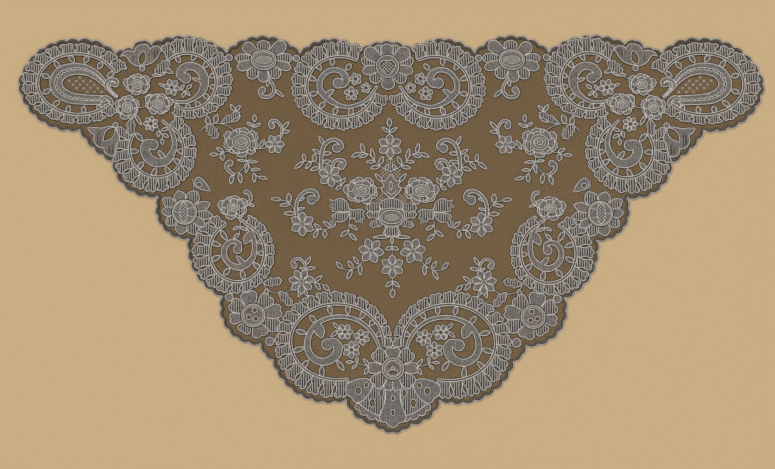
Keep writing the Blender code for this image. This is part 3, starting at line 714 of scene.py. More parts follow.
# A rose's heart is wide by high, and its petals reach out, less upwards by the share in flat.
ROSES = {
    "ring_rose": [Rose(296, 50, 12, 8, 30, 0.80, 8, 15)],
    "rose_spray": [Rose(279, 174, 17, 14.5, 36.5, 0.80, 9, 28)],
    "joining_roses": [
        Rose(473, 283, 11.5, 8.5, 27.5, 0.76, 8, 10), Rose(493, 239, 10, 10, 24.5, 1.0, 8, 20),
        Rose(434, 246, 12, 9, 28, 0.76, 8, 30)],
}

ROSE_PETAL = [
    (0.0, -0.34), (0.35, -0.47), (0.6, -0.52), (0.8, -0.42), (0.86, -0.26), (0.86, -0.26), (0.98, -0.14),
    (1.0, 0.02), (0.9, 0.16), (0.9, 0.16), (0.92, 0.32), (0.78, 0.46), (0.58, 0.52), (0.35, 0.46),
    (0.0, 0.34)]
ROSE_TURNS = 1.6
ROSE_HEART = 0.66
ROSE_INNER_SHARE = 0.78
ROSE_OVERLAP = 0.82
ROSE_REACHES = (1.0, 0.88, 0.95)
ROSE_LEANS = (0, 6, -5)
ROSE_FOOT = 0.9
ROSE_GAP = 1.8
INNER_TURN = 20
# The winding thread fills this share of the heart and starts at this share of its own reach.
SWIRL_SHARE = 0.85
SWIRL_START = 0.15
SWIRL_WAVE, SWIRL_WAVES = 0.12, 5
SWIRL_STEPS = 40


def swirl(out, up, wide, high):
    """A thread that winds outwards in a wavy spiral."""
    part = np.linspace(0, 1, SWIRL_STEPS)
    turn = 2 * math.pi * ROSE_TURNS * part
    reach = (SWIRL_START + (1 - SWIRL_START) * part) * (1 + SWIRL_WAVE * np.sin(SWIRL_WAVES * turn))
    return np.column_stack([out + wide * reach * np.cos(turn), up + high * reach * np.sin(turn)])


def rose_petals(rose, count, share, turned):
    """One layer of a rose's petals, each a little longer or shorter than the next."""
    petals = []
    for number in range(count):
        turn = math.radians(rose.turn + turned + 360 * number / count + ROSE_LEANS[number % 3])
        foot = ROSE_FOOT * np.array([rose.wide * math.cos(turn), rose.high * math.sin(turn)])
        reach = share * rose.reach * ROSE_REACHES[number % 3]
        tip = reach * np.array([math.cos(turn), rose.flat * math.sin(turn)])
        width = ROSE_OVERLAP * math.pi * (1 + rose.flat) * reach / count
        angle = math.degrees(math.atan2(*(tip - foot)[::-1]))
        place = placer(rose.out + foot[0], rose.up + foot[1], angle, np.hypot(*(tip - foot)), width)
        outline = curve_through(place(ROSE_PETAL), True)
        petals.append(ribbed_form(outline) if number % 2 else Form([outline]))
    return petals[::2] + petals[1::2]


def rose_forms(rose):
    wide, high = ROSE_HEART * rose.wide, ROSE_HEART * rose.high
    heart = swirl(rose.out, rose.up, SWIRL_SHARE * wide, SWIRL_SHARE * high)
    forms = [
        Form([oval(rose.out, rose.up, wide, high)], lines=[heart], dark=[heart], gimp=FINE),
        Form([oval(rose.out, rose.up, rose.wide, rose.high)]),
        dark_ring(rose.out, rose.up, rose.wide, rose.high, gap=ROSE_GAP),
    ]
    return (forms + rose_petals(rose, rose.petals - 2, ROSE_INNER_SHARE, INNER_TURN)
            + rose_petals(rose, rose.petals, 1.0, 0))


# %% Star flowers
STARS = {
    "rose_spray": [Star(216, 170, 19, 6, 0)],
    "scroll_sprig": [Star(114, 111, 22.5, 6, 20)],
    "corner_sprig": [Star(170, -90, 24.5, 7, 10)],
    "bouquet_side": [Star(167, 19, 23.5, 6, 30)],
    "lower_spray": [Star(39, -31, 24.5, 6, 10)],
}
STAR_PETAL = whole([(0.0, -0.12), (0.3, -0.3), (0.58, -0.5), (0.8, -0.32), (1.0, 0.0), (1.0, 0.0)])
STAR_EYE = 4.6
STAR_OPEN_EYE = 0.9
STAR_GAP = 1.5
STAR_FOOT = 0.8
STAR_OVERLAP = 1.15


def star_forms(star, open_eye=False):
    """A star flower. The small ones inside the rings have an open eye."""
    ring = STAR_EYE * (STAR_OPEN_EYE if open_eye else 1.0)
    forms = [Form([oval(star.out, star.up, ring, ring)], cloth=not open_eye, gimp=LIGHT_GIMP)]
    if not open_eye:
        around = oval(star.out, star.up, ring + STAR_GAP, ring + STAR_GAP)
        forms.append(Form([around], cloth=False, gimp=0.0))
    foot = STAR_FOOT * ring
    width = STAR_OVERLAP * math.pi * star.reach / star.petals
    for number in range(star.petals):
        angle = star.turn + 360 * number / star.petals
        turn = math.radians(angle)
        out, up = star.out + foot * math.cos(turn), star.up + foot * math.sin(turn)
        place = placer(out, up, angle, star.reach - foot, width)
        forms.append(Form([curve_through(place(STAR_PETAL), True)]))
    return forms


# %% Scrolls and volutes
def band_edge(path, share):
    """The line that runs beside rows of (out, up, width) at a share, or shares, of their width."""
    rows = curve_through(path, False)
    along = np.gradient(rows[:, :2], axis=0)
    along /= np.maximum(np.hypot(*along.T), MERGE)[:, None]
    side = np.column_stack([-along[:, 1], along[:, 0]]) * rows[:, 2:]
    return rows[:, :2] + side * np.reshape(share, (-1, 1))


def band(path, inner=-0.5, outer=0.5):
    """A band that follows a path between two shares of its width."""
    return np.concatenate([band_edge(path, outer), band_edge(path, inner)[::-1]])


EYE_SHARE = 1.7


def scroll_form(scroll, thorns=()):
    """A band that runs on into its round eye, with hooks that stand on it."""
    eye_round = oval(scroll.eye_out, scroll.eye_up, scroll.eye, scroll.eye)
    path = [*scroll.path, (scroll.eye_out, scroll.eye_up, EYE_SHARE * scroll.eye)]
    hooks = [leaf_outline(*thorn) for thorn in thorns]
    return Form([band(path), eye_round, *hooks])


# A scroll's path has rows of (out, up, width) and ends in a round eye.
VOLUTES = {
    "end": Scroll(532, 249, 10.5, [
        (539, 250, 14), (577, 251, 15), (605, 255, 17), (626, 269, 19), (630, 289, 19), (617, 307, 19),
        (591, 314, 17), (565, 310, 15), (546, 298, 12), (531, 281, 7.5), (522, 268, 5), (511, 259, 5)]),
    "a": Scroll(381, 295, 9.5, [
        (418, 255, 3.5), (400, 250, 5), (379, 250, 6), (362, 259, 8), (351, 270, 12), (346, 285, 16),
        (348, 301, 16), (359, 314, 15), (373, 318, 14), (386, 313, 14.5), (391, 302, 16)]),
    "b": Scroll(446, 168, 10, [
        (428, 215, 4), (415, 202, 5.5), (407, 185, 7.5), (405, 167, 9), (410, 152, 11.5), (421, 137, 14),
        (439, 134, 16), (454, 142, 17.5), (461, 157, 17.5), (457, 169, 17)]),
    "c": Scroll(94, 286, 9.5, [
        (21, 281, 4), (31, 266, 5), (42, 254, 5.5), (59, 245, 6), (80, 241, 6.5), (100, 247, 8.5),
        (116, 258, 11.5), (127, 271, 10.5), (129, 285, 9.5), (123, 299, 8.5), (111, 309, 8.5),
        (96, 311, 8.5), (84, 305, 11), (79, 293, 13), (84, 284, 12)]),
    "e": Scroll(289, -30, 8, [
        (285, 27, 4), (274, 21, 5.5), (264, 5, 7.5), (258, -12, 8.5), (257, -30, 9), (261, -46, 10),
        (272, -58, 12), (287, -64, 11.5), (302, -59, 10), (312, -47, 9.5), (314, -32, 9.5), (308, -20, 9),
        (297, -15, 8.5), (286, -19, 8.5)]),
    "g": Scroll(122, -209, 10.5, [
        (24, -219, 4.5), (31, -199, 5.5), (44, -179, 6.5), (63, -164, 7), (85, -157, 7), (110, -157, 7),
        (132, -164, 8), (148, -177, 9), (157, -195, 10), (159, -214, 11.5), (152, -231, 12),
        (137, -241, 13), (120, -240, 14), (106, -229, 16), (102, -214, 16), (109, -205, 15)]),
}
# The hooks that stand on some scrolls, as leaves of (out, up, tip out, tip up, width).
THORNS = {
    "a": [(350, 288, 369, 295, 6.5)],
    "b": [(424, 142, 436, 157, 9.5)],
    "c": [(119, 262, 102, 274, 9.5)],
    "e": [(276, -59, 291, -42, 9.5), (262, 5, 276, -20, 15)],
    "g": [(142, -168, 131, -197, 19)],
}

# %% [markdown]
# ## The teardrop in the tip rings
#
# The ring at each tip holds a teardrop. It has a path with widths too, but its band is split: a toile
# band outside, a thin dark line, and a second band with small scallops inside it. Two curls stand at its
# pointed end. The net in the middle carries a lattice of small crosses, which come later.

# %% Teardrop
TEARDROP_BANDS = ((-0.46, 0.04), (0.18, 0.76))
TEARDROP_SCALLOPS = 30
SCALLOP_SHARE = 0.16
TIP_CURLS = [
    Scroll(520, 283, 4.5, [
        (530, 272, 4), (534, 281, 5), (529, 289, 6), (520, 292, 6.5), (512, 288, 7), (513, 281, 7)]),
    Scroll(532, 247, 4.5, [
        (545, 254, 5), (535, 258, 6), (526, 254, 6.5), (523, 246, 7), (529, 238, 7), (537, 239, 7),
        (540, 245, 7)]),
]


def teardrop_forms(scroll):
    outside = Form([band(scroll.path, *TEARDROP_BANDS[0])])
    inner, outer = TEARDROP_BANDS[1]
    part = np.linspace(0, 1, len(band_edge(scroll.path, inner)))
    wave = SCALLOP_SHARE * (1 - np.abs(np.sin(np.pi * TEARDROP_SCALLOPS * part)))
    gap = (TEARDROP_BANDS[0][1] + inner) / 2
    scalloped = Form([band(scroll.path, inner + wave, outer)], dark=[band_edge(scroll.path, gap)])
    return [scroll_form(curl) for curl in TIP_CURLS] + [outside, scalloped]


# %% [markdown]
# ## Ruffled rings
#
# Every ring is a band with a groove along its middle and a ruffle outside it. The ruffle is a row of
# flutes between two ellipses: each flute is drawn in at the waist, opens like a fan and ends in two or
# three round lobes. One list of (reach, share) points gives half of the flute. Between the waists the
# open net shows.

# %% Ruffled rings
Ring = namedtuple(
    "Ring", "name out up wide high shift_out shift_up ruffle_wide ruffle_high start finish flutes")
# A ring's band runs inwards from the ellipse wide by high. Its ruffle reaches out to the ellipse
# ruffle_wide by ruffle_high, whose middle is moved by the shift, and runs from start to finish in degrees.
RINGS = [
    Ring("end", 586, 282.5, 78.5, 60, 1, 1, 105.5, 76.5, -140, 158, 17),
    Ring("a", 377, 289, 55.5, 55.5, -3, 6, 81.5, 76.5, 47, 297, 14),
    Ring("b", 439, 159, 53.5, 54.5, 5, -1, 80, 80, -240, 36, 15),
    Ring("c", 89, 279, 66, 59.5, 1, 2, 92, 83.5, -168, 120, 17),
    Ring("e", 290, -35, 53.5, 58.5, 7, -1, 77, 78, -250, 68, 17),
    Ring("g", 104, -204, 88.5, 74, 6, -5, 109.5, 101, -104, 186, 20),
]

TWO_LOBES = whole([
    (0.0, 0.03), (0.25, 0.05), (0.42, 0.13), (0.6, 0.15), (0.75, 0.08), (0.87, 0.08), (0.97, 0.18),
    (1.01, 0.32), (0.9, 0.5), (0.9, 0.5)], 0.5)
THREE_LOBES = whole([
    (0.0, 0.03), (0.25, 0.05), (0.42, 0.12), (0.58, 0.14), (0.72, 0.06), (0.83, 0.05), (0.93, 0.13),
    (0.88, 0.28), (0.88, 0.28), (0.99, 0.37), (1.03, 0.5)], 0.5)
GROOVE = 1.0
RING_STEP_DEGREES = 1.5


def ring_placer(ring):
    """A function that puts (reach, angle) on the lace: reach 0 is the band and 1 the ruffle's edge."""

    def place(rows):
        rows = np.asarray(rows, float)
        turn = np.radians(rows[:, 1:2])
        near = np.hstack([ring.out + ring.wide * np.cos(turn), ring.up + ring.high * np.sin(turn)])
        far = np.hstack([ring.out + ring.shift_out + ring.ruffle_wide * np.cos(turn),
                         ring.up + ring.shift_up + ring.ruffle_high * np.sin(turn)])
        return near + (far - near) * rows[:, :1]

    return place


def ruffle_forms(ring):
    place = ring_placer(ring)
    angles = np.arange(ring.start, ring.finish, RING_STEP_DEGREES)
    cord = np.column_stack([np.radians(np.append(angles, ring.finish))])

    def circle(less):
        return np.hstack([ring.out + (ring.wide - less) * np.cos(cord),
                          ring.up + (ring.high - less) * np.sin(cord)])

    middle = CORD_BAND / 2
    groove = np.concatenate([circle(middle - GROOVE / 2), circle(middle + GROOVE / 2)[::-1]])
    forms = [Form([np.concatenate([circle(0.0), circle(CORD_BAND)[::-1]])], slots=[groove])]
    step = (ring.finish - ring.start) / ring.flutes
    for number in range(ring.flutes):
        lobes = np.array(THREE_LOBES if number % 3 == 1 else TWO_LOBES)
        lobes[:, 1] = ring.start + step * (number + lobes[:, 1])
        forms.append(ribbed_form(curve_through(place(lobes), True)))
    return forms


# %% [markdown]
# ## What fills the rings
#
# Between a ring's band and its scroll stand short leaves like the spokes of a wheel. Inside the scroll's
# curl lie small stars, leaves and stems. All are plain rows of places.

# %% Fillings of the rings
SPOKE_WIDTH = 11.0
SPOKES = {
    "end": [
        (602, 338, 591, 323), (564, 338, 574, 321), (630, 327, 619, 311), (538, 325, 548, 311),
        (655, 300, 638, 295), (516, 306, 531, 296), (654, 264, 637, 272), (635, 240, 620, 251),
        (607, 227, 603, 242), (577, 225, 575, 242), (543, 229, 550, 244)],
    "a": [
        (399, 338, 390, 323), (361, 343, 369, 327), (337, 328, 348, 313), (322, 304, 337, 296),
        (324, 278, 337, 279), (338, 255, 349, 266), (355, 240, 364, 251), (375, 234, 381, 247),
        (396, 236, 402, 247), (429, 315, 403, 304)],
    "b": [
        (479, 191, 464, 174), (491, 155, 472, 155), (476, 121, 463, 136), (448, 106, 440, 125),
        (414, 110, 423, 127), (393, 131, 408, 142), (386, 155, 401, 157), (385, 178, 400, 178),
        (389, 199, 404, 197)],
    "c": [
        (103, 336, 104, 317), (135, 325, 124, 310), (68, 323, 79, 310), (151, 298, 134, 291),
        (149, 264, 132, 268), (131, 238, 119, 251), (104, 225, 97, 242), (74, 223, 69, 242),
        (42, 234, 52, 247), (21, 251, 36, 257)],
    "e": [
        (321, 7, 308, -14), (340, -16, 319, -24), (340, -52, 320, -42), (316, -80, 303, -65),
        (277, -89, 282, -67), (245, -69, 260, -54), (237, -37, 252, -37), (238, -12, 252, -18)],
    "g": [
        (119, -135, 114, -153), (83, -133, 84, -153), (51, -144, 61, -161), (33, -161, 44, -174),
        (16, -183, 33, -193), (155, -153, 142, -170), (182, -183, 159, -189), (188, -223, 163, -215),
        (171, -257, 156, -238), (132, -276, 132, -247), (90, -259, 105, -238)],
}
RING_STARS = {
    "a": [Star(408, 277, 16.5, 6, 10)],
    "b": [Star(449, 208, 15, 7, 0)],
    "c": [Star(61, 294, 12, 5, 0), Star(70, 266, 14, 5, 90), Star(42, 277, 10.5, 5, 30)],
    "g": [Star(89, -185, 16, 6, 0), Star(58, -195, 16, 6, 20), Star(77, -219, 17, 6, 30)],
}
RING_LEAVES = {
    "a": [
        (420, 278, 433, 285, 6.5), (392, 272, 384, 283, 6.5), (381, 274, 369, 283, 7.5),
        (384, 270, 388, 257, 7.5), (384, 272, 373, 261, 6.5)],
    "b": [
        (430, 195, 415, 200, 7.5), (434, 195, 436, 182, 7.5), (428, 189, 415, 182, 7.5),
        (429, 180, 427, 167, 7.5)],
    "e": [(285, 14, 298, 7, 6.5), (285, 14, 270, 5, 6.5), (285, 1, 297, -10, 7.5)],
    "g": [
        (99, -180, 112, -167, 7.5), (101, -182, 116, -195, 7.5), (99, -183, 97, -199, 7.5),
        (67, -231, 66, -244, 6.5), (43, -251, 56, -234, 7.5), (45, -251, 53, -266, 8.5),
        (73, -242, 88, -242, 6.5), (66, -246, 77, -255, 5.5)],
}
RING_STEMS = {
    "a": [[(396, 274), (384, 270)], [(429, 281), (420, 278)]],
    "b": [[(440, 202), (432, 195), (427, 180)]],
    "e": [[(283, 24), (285, -1)]],
    "g": [[(97, -183), (103, -182)], [(77, -240), (58, -247), (41, -251)]],
}


def filling_forms(name):
    forms = [form for star in RING_STARS.get(name, []) for form in star_forms(star, open_eye=True)]
    forms += [leaf(*row) for row in RING_LEAVES.get(name, [])]
    forms += [leaf(*row, SPOKE_WIDTH) for row in SPOKES[name]]
    return forms + [stem(row) for row in RING_STEMS.get(name, [])]


# %% [markdown]
# ## Fans and the shell at the point
#
# A fan is one broad form with a scalloped top and one almond opening, spread from a small dot. The shell
# under the last medallion has a smooth wedge in the middle, ribbed panels with a scalloped strip below
# them beside it, and broad petals outside. All but the strip have oval openings.

# %% Fans
# Outlines of the fans as (out, up) points, with a corner where a point is given twice.
FANS = {
    "upper_fan": [
        (471, 317), (479, 320), (487, 326), (491, 333), (497, 337), (504, 335), (504, 335), (500, 342),
        (491, 346), (482, 346), (477, 344), (477, 344), (475, 351), (470, 356), (461, 359), (453, 358),
        (448, 352), (447, 349), (447, 349), (443, 354), (437, 356), (431, 355), (425, 349), (425, 349),
        (430, 341), (434, 333), (442, 325), (451, 321), (459, 319)],
    "lower_fan": [
        (519, 202), (531, 202), (542, 199), (555, 200), (569, 200), (569, 200), (567, 195), (562, 189),
        (556, 186), (556, 186), (558, 179), (556, 171), (551, 164), (544, 161), (539, 162), (539, 162),
        (538, 155), (534, 149), (527, 146), (521, 146), (518, 148), (518, 148), (516, 160), (514, 170),
        (509, 179), (512, 190), (516, 199)],
}
# The almond in each fan as (out, up, tip out, tip up, width), and the ends of its few slots.
FAN_OPENINGS = {"upper_fan": (466, 320, 459, 346, 14), "lower_fan": (518, 200, 539, 174, 16.5)}
FAN_SLOTS = {
    "upper_fan": [((439, 335), (438, 351)), ((434, 339), (433, 351)), ((480, 327), (480, 340))],
    "lower_fan": [((551, 168), (551, 189)), ((546, 166), (546, 191)), ((528, 151), (528, 166)),
                  ((523, 151), (523, 168))],
}
DOTS = {
    "upper_fan": [(463, 313, 5.2)],
    "lower_fan": [(516, 205, 5.2)],
    "top_flower": [(298, 334, 6), (171, 333, 6)],
    "edge_flower_f": [(305, -121, 7.5), (229, -204, 8)],
}


def dot_forms(name):
    return [Form([oval(out, up, size, size)]) for out, up, size in DOTS.get(name, [])]


def fan_forms(name):
    slots = [slot_between(*np.array(ends, float)) for ends in FAN_SLOTS[name]]
    return dot_forms(name) + [
        Form([curve_through(FANS[name], True)], openings=[leaf_outline(*FAN_OPENINGS[name])], slots=slots)]


# %% Shell
# Outlines of the shell below the last medallion, on one half, as (out, up) points.
SHELL_WEDGE = [
    (0, -288), (13, -291), (14, -314), (23, -340), (24.5, -347), (20, -354.5), (12.5, -356), (12.5, -356),
    (8, -361.5), (0, -366.5), (0, -366.5)]
SHELL_HOLES = [(0, -310, 3.2, 4.8), (0, -337, 3.5, 5.5)]
SHELL_RIBBED = [
    (33, -285), (45, -298), (56, -311), (67, -323), (58, -331), (44, -338), (23, -344), (15, -312),
    (16, -289)]
SHELL_PETAL = [
    (85, -284), (68, -275), (49, -273), (38.5, -280), (40, -294), (49, -308), (57, -316), (66, -319),
    (73, -316), (77, -308.5), (77, -308.5), (84, -305), (88, -296)]
SHELL_PANEL_HOLES = [(38, -319, 5.2, 8.0), (21, -300, 3.6, 7.0)]
SHELL_PETAL_HOLES = [(64, -296, 5.4, 7.0), (49, -285, 3.8, 5.0)]
SHELL_STRIP = [
    (64, -320), (70, -325), (68, -332), (61, -333), (61, -333), (60, -340), (53, -343), (48, -341),
    (48, -341), (45, -348), (37, -351), (32, -347), (32, -347), (28, -353), (19, -353), (15, -346),
    (24, -343), (36, -339), (46, -333), (56, -326)]
SHELL_BUD = (8.6, -283, 8.6, 10.5)


def shell_wedge_forms():
    out, *rest = SHELL_BUD
    buds = [Form([oval(side * out, *rest)]) for side in (1, -1)]
    wedge = curve_through(both_halves(SHELL_WEDGE), True)
    return [*buds, Form([wedge], openings=[oval(*hole) for hole in SHELL_HOLES])]


def shell_side_forms():
    petal_holes = [oval(*hole) for hole in SHELL_PETAL_HOLES]
    panel_holes = [oval(*hole) for hole in SHELL_PANEL_HOLES]
    return [Form([curve_through(SHELL_PETAL, True)], openings=petal_holes),
            Form([curve_through(SHELL_STRIP, True)]),
            ribbed_form(curve_through(SHELL_RIBBED, True), panel_holes)]


# %% [markdown]
# ## Sprays of the field
#
# Loose sprays are lists of leaves, stars, scrolls, roses and stems. A leaf from the tables that is broad
# is a toothed one with ribs, and the rest are plain ones. What lies on top comes first: flowers, then
# scrolls, leaves and, last, the stems that run in under them.

# %% Tables of the sprays
SCROLLS = {
    "ring_rose": [
        Scroll(272, 79, 4, [
            (281, 50, 4), (270, 56, 5), (263, 67, 6), (267, 78, 7)]),
    ],
    "rose_spray": [
        Scroll(221, 205, 5.5, [
            (209, 179, 3.5), (203, 190, 3.5), (203, 202, 4), (209, 212, 4.5), (217, 215, 5.5),
            (224, 211, 5.5)]),
        Scroll(301, 134, 6, [
            (292, 112, 4), (300, 116, 5.5), (307, 124, 6.5), (307, 132, 7)]),
    ],
    "scroll_sprig": [
        Scroll(100, 163, 8, [
            (129, 120, 6), (130, 136, 6.5), (128, 153, 7), (124, 167, 7), (115, 176, 6.5),
            (104, 179, 6.5), (94, 174, 7.5), (91, 166, 8.5)]),
        Scroll(92, 129, 6.5, [
            (109, 121, 4.5), (107, 134, 5), (100, 140, 5.5), (90, 140, 6), (86, 134, 7)]),
    ],
    "corner_sprig": [
        Scroll(183, -60, 5.5, [
            (162, -65, 4), (165, -54, 4), (173, -47, 4.5), (181, -48, 5), (187, -55, 5.5)]),
    ],
    "bouquet_side": [
        Scroll(149, 65, 8.5, [
            (176, 29, 5.5), (178, 46, 6), (176, 62, 6), (167, 75, 6), (155, 82, 6.5), (143, 80, 7.5),
            (139, 70, 9)]),
    ],
    "top_flower": [
        Scroll(237, 273, 6, [
            (228, 300, 4), (216, 281, 5), (216, 268, 5.5), (225, 260, 6), (237, 261, 6.5),
            (242, 269, 6.5)]),
    ],
}
LEAVES = {
    "ring_rose": [
        (270, 57, 255, 52, 5.5)],
    "rose_spray": [
        (340, 206, 342, 223, 11.5), (329, 208, 323, 227, 11.5), (343, 207, 323, 181, 20),
        (315, 210, 279, 231, 14),
        (297, 212, 279, 225, 11.5), (289, 231, 298, 246, 8.5), (289, 232, 279, 244, 7.5),
        (257, 204, 268, 212, 6.5), (257, 202, 240, 210, 6.5), (253, 212, 253, 227, 8.5),
        (203, 197, 187, 214, 8), (204, 193, 186, 195, 7.5), (246, 161, 235, 180, 7.5),
        (312, 155, 327, 163, 7.5), (323, 150, 340, 150, 7.5), (316, 153, 314, 138, 11.5),
        (296, 112, 301, 93, 9.5), (284, 116, 281, 95, 9.5), (267, 135, 272, 114, 7.5),
        (271, 138, 248, 136, 6.5), (271, 138, 288, 140, 5.5), (262, 122, 243, 122, 6.5),
        (256, 116, 256, 97, 8.5), (249, 108, 230, 104, 7)],
    "scroll_sprig": [
        (124, 168, 133, 187, 7.5), (130, 152, 146, 161, 7.5), (143, 136, 141, 153, 10.5),
        (160, 138, 163, 153, 8.5), (162, 138, 181, 123, 8.5), (147, 138, 160, 123, 7.5),
        (132, 127, 151, 121, 8.5), (128, 152, 109, 154, 8.5), (130, 136, 109, 139, 7.5),
        (94, 93, 85, 108, 7.5), (92, 92, 104, 84, 7.5)],
    "corner_sprig": [
        (162, -59, 152, -42, 8), (162, -67, 143, -63, 7.5), (163, -69, 173, -63, 5.5),
        (147, -91, 130, -78, 8), (145, -91, 134, -106, 9), (130, -95, 117, -108, 9.5),
        (171, -98, 175, -121, 8), (168, -98, 157, -120, 6.5), (240, -94, 205, -88, 17),
        (234, -103, 238, -120, 9.5), (211, -110, 187, -136, 17)],
    "bouquet_side": [
        (206, 65, 226, 67, 8.5), (191, 59, 192, 78, 12), (189, 56, 210, 54, 7.5), (179, 39, 202, 39, 9.5),
        (175, 63, 161, 69, 6), (177, 46, 161, 50, 5.5), (131, 8, 146, 20, 8), (112, 12, 129, 25, 8),
        (138, 8, 146, -8, 9), (125, 8, 125, -8, 9.5), (79, 18, 63, 8, 7.5), (80, 8, 97, -5, 8.5),
        (80, 1, 65, -12, 8.5)],
    "lower_spray": [
        (92, -66, 105, -52, 9), (73, -65, 83, -50, 9), (62, -57, 73, -42, 7.5), (60, -56, 60, -78, 9),
        (75, -66, 85, -86, 9)],
    "top_flower": [
        (225, 295, 228, 278, 7), (214, 274, 196, 259, 7.5)],
    "joining_roses": [
        (412, 327, 438, 302, 20), (418, 304, 446, 300, 9.5), (479, 226, 466, 204, 7.5),
        (486, 217, 488, 184, 17), (422, 257, 460, 259, 13)],
}
STEMS = {
    "rose_spray": [
        [(355, 195), (344, 205), (330, 209), (315, 208), (300, 202), (291, 195)], [(319, 208), (289, 232)],
        [(271, 150), (271, 135), (280, 120), (294, 112)], [(271, 142), (263, 125), (256, 114), (245, 106)],
        [(261, 189), (257, 204), (253, 215)], [(261, 165), (246, 161), (220, 166)],
        [(295, 157), (310, 155), (325, 150)]],
    "scroll_sprig": [[(130, 125), (139, 136), (150, 138), (164, 138)], [(106, 103), (91, 91)]],
    "corner_sprig": [
        [(168, -86), (162, -59)], [(165, -90), (139, -93), (126, -97)],
        [(172, -92), (188, -104), (200, -112), (217, -112), (234, -106), (241, -93)]],
    "bouquet_side": [
        [(170, 25), (178, 39), (191, 59), (211, 65)],
        [(162, 16), (154, 10), (135, 8), (120, 10), (104, 18)],
        [(78, 34), (80, 12), (80, -1)]],
    "lower_spray": [[(48, -44), (60, -57), (71, -65), (85, -68), (94, -65)]],
    "joining_roses": [[(473, 283), (493, 238), (434, 246)], [(473, 283), (430, 302)]],
}

# %% Sprays
# The three broad leaves that meet beside the bouquet, as outlines with sharp teeth.
BROAD_LEAVES = [
    [(79, 50), (82, 60), (89, 66), (98, 68), (107, 64), (117, 66), (117, 66), (110, 59), (110, 59),
     (118, 52), (118, 52), (109, 50), (109, 50), (111, 43), (111, 43), (100, 43), (89, 42), (79, 44)],
    [(79, 42), (89, 41), (104, 40), (112, 34), (107, 30), (107, 30), (116, 23), (116, 23), (111, 19),
     (111, 19), (117, 11), (117, 11), (107, 15), (104, 24), (104, 24), (94, 23), (85, 28), (80, 37)],
    [(79, 48), (70, 46), (59, 48), (49, 44), (49, 44), (54, 39), (54, 39), (50, 31), (50, 31), (55, 29),
     (55, 29), (53, 17), (53, 17), (60, 25), (60, 25), (65, 22), (65, 22), (70, 30), (76, 29), (79, 38)],
]
TOOTHED_FROM_WIDTH = 13.0
THREE_TEETH_FROM_WIDTH = 18
# The bud with a round opening that hangs on a stem beside one border flower.
BUD = [(368, 101), (361, 107), (351, 101), (344, 91), (338, 80), (338, 80), (350, 82), (358, 84), (367, 89)]
BUD_HOLE = (359.5, 92.5, 4.6, 4.2)
BUD_STEM = [(372, 103), (370, 90), (370, 74)]


def leaf_or_toothed(row):
    if row[4] >= TOOTHED_FROM_WIDTH:
        return toothed_leaf(*row, teeth=2 if row[4] < THREE_TEETH_FROM_WIDTH else 3)
    return leaf(*row)


def spray_forms(name):
    forms = [form for rose in ROSES.get(name, []) for form in rose_forms(rose)]
    forms += [form for star in STARS.get(name, []) for form in star_forms(star)]
    forms += [scroll_form(scroll) for scroll in SCROLLS.get(name, [])]
    if name == "bouquet_side":
        forms += [ribbed_form(curve_through(outline, True)) for outline in BROAD_LEAVES]
    forms += [leaf_or_toothed(row) for row in LEAVES.get(name, [])]
    return forms + [stem(row) for row in STEMS.get(name, [])]


# %% [markdown]
# ## The bouquet on the centre line
#
# The middle motif is two roses, a heart with a slot over an urn with a ribbed collar, and layers of
# toothed leaves. It is worked on one half and mirrored, as the whole piece is.

# %% Tables of the centre line
# Motifs of the centre line, given on one half. The other half is their mirror image.
CENTRE_LEAVES = {
    "top_sprig": [
        (-1, 192, 15, 203, 7), (54, 155, 74, 146, 9), (49, 153, 54, 173, 9.5), (41, 152, 59, 145, 7),
        (30, 140, 36, 164, 8.5), (28, 138, 46, 137, 7), (19, 129, 39, 125, 8.5), (21, 131, 13, 148, 9.5),
        (9, 121, 4, 133, 7.5)],
    "lower_sprig": [
        (0, -3, 37, -6, 7.5), (0, -5, 0, -18, 7.5), (-1, -24, 13, -29, 8), (-1, -88, 14, -100, 8)],
    "bouquet": [
        (14, 98, 30, 116, 8.5), (18, 52, 48, 50, 19), (18, 38, 48, 38, 17), (14, 24, 42, 17, 15),
        (2, 22, 12, -4, 15)],
}
CENTRE_STEMS = {
    "top_sprig": [[(58, 155), (41, 152), (30, 140), (19, 129), (-1, 118)]],
    "bouquet": [[(54, 81), (14, 90)]],
}
DROP_LEAVES = {
    "top_sprig": [(0, 203, 0, 221, 11), (0, 150, 0, 140, 5)],
    "lower_sprig": [(0, -102, 0, -121, 12)],
}
CENTRE_STARS = {
    "top_sprig": [Star(0, 167, 23.5, 6, 30)],
    "lower_sprig": [Star(0, -61, 22.5, 6, 30)],
}
CENTRE_ROSES = {"bouquet": [Rose(56, 83, 16, 11.5, 34, 0.80, 9, 5)]}
# The upright stem of each centre spray runs from one height to the other.
CENTRE_LINES = {"bouquet": (45, 108), "top_sprig": (116, 208), "lower_sprig": (-105, 0)}

# %% Bouquet and centre sprigs
# The bouquet's heart, urn and crown as (out, up) points on one half.
HEART = [(0, 114), (9, 103), (17, 101), (14, 92), (19, 86), (12, 77), (0, 68)]
HEART_SLOT = (0, 92, 2.0, 8.5)
HEART_FOLD = [(-9, 82), (0, 76), (9, 82)]
URN = [(0, 67), (14, 65), (21, 58), (20, 48), (24, 40), (23, 28), (14, 18), (0, 14)]
URN_COLLAR = [(0, 68), (13, 66), (21, 59), (19, 48), (0, 50)]
URN_BOWL, BOWL_GAP = (0, 33, 20.5, 13.0), 2.0
URN_LENS, URN_LENS_GAP = (0, 32, 12.5, 6.0), 1.4
CROWN = [(0, 16), (8, 15), (13, 7), (10, -4), (5, -2), (0, -6)]


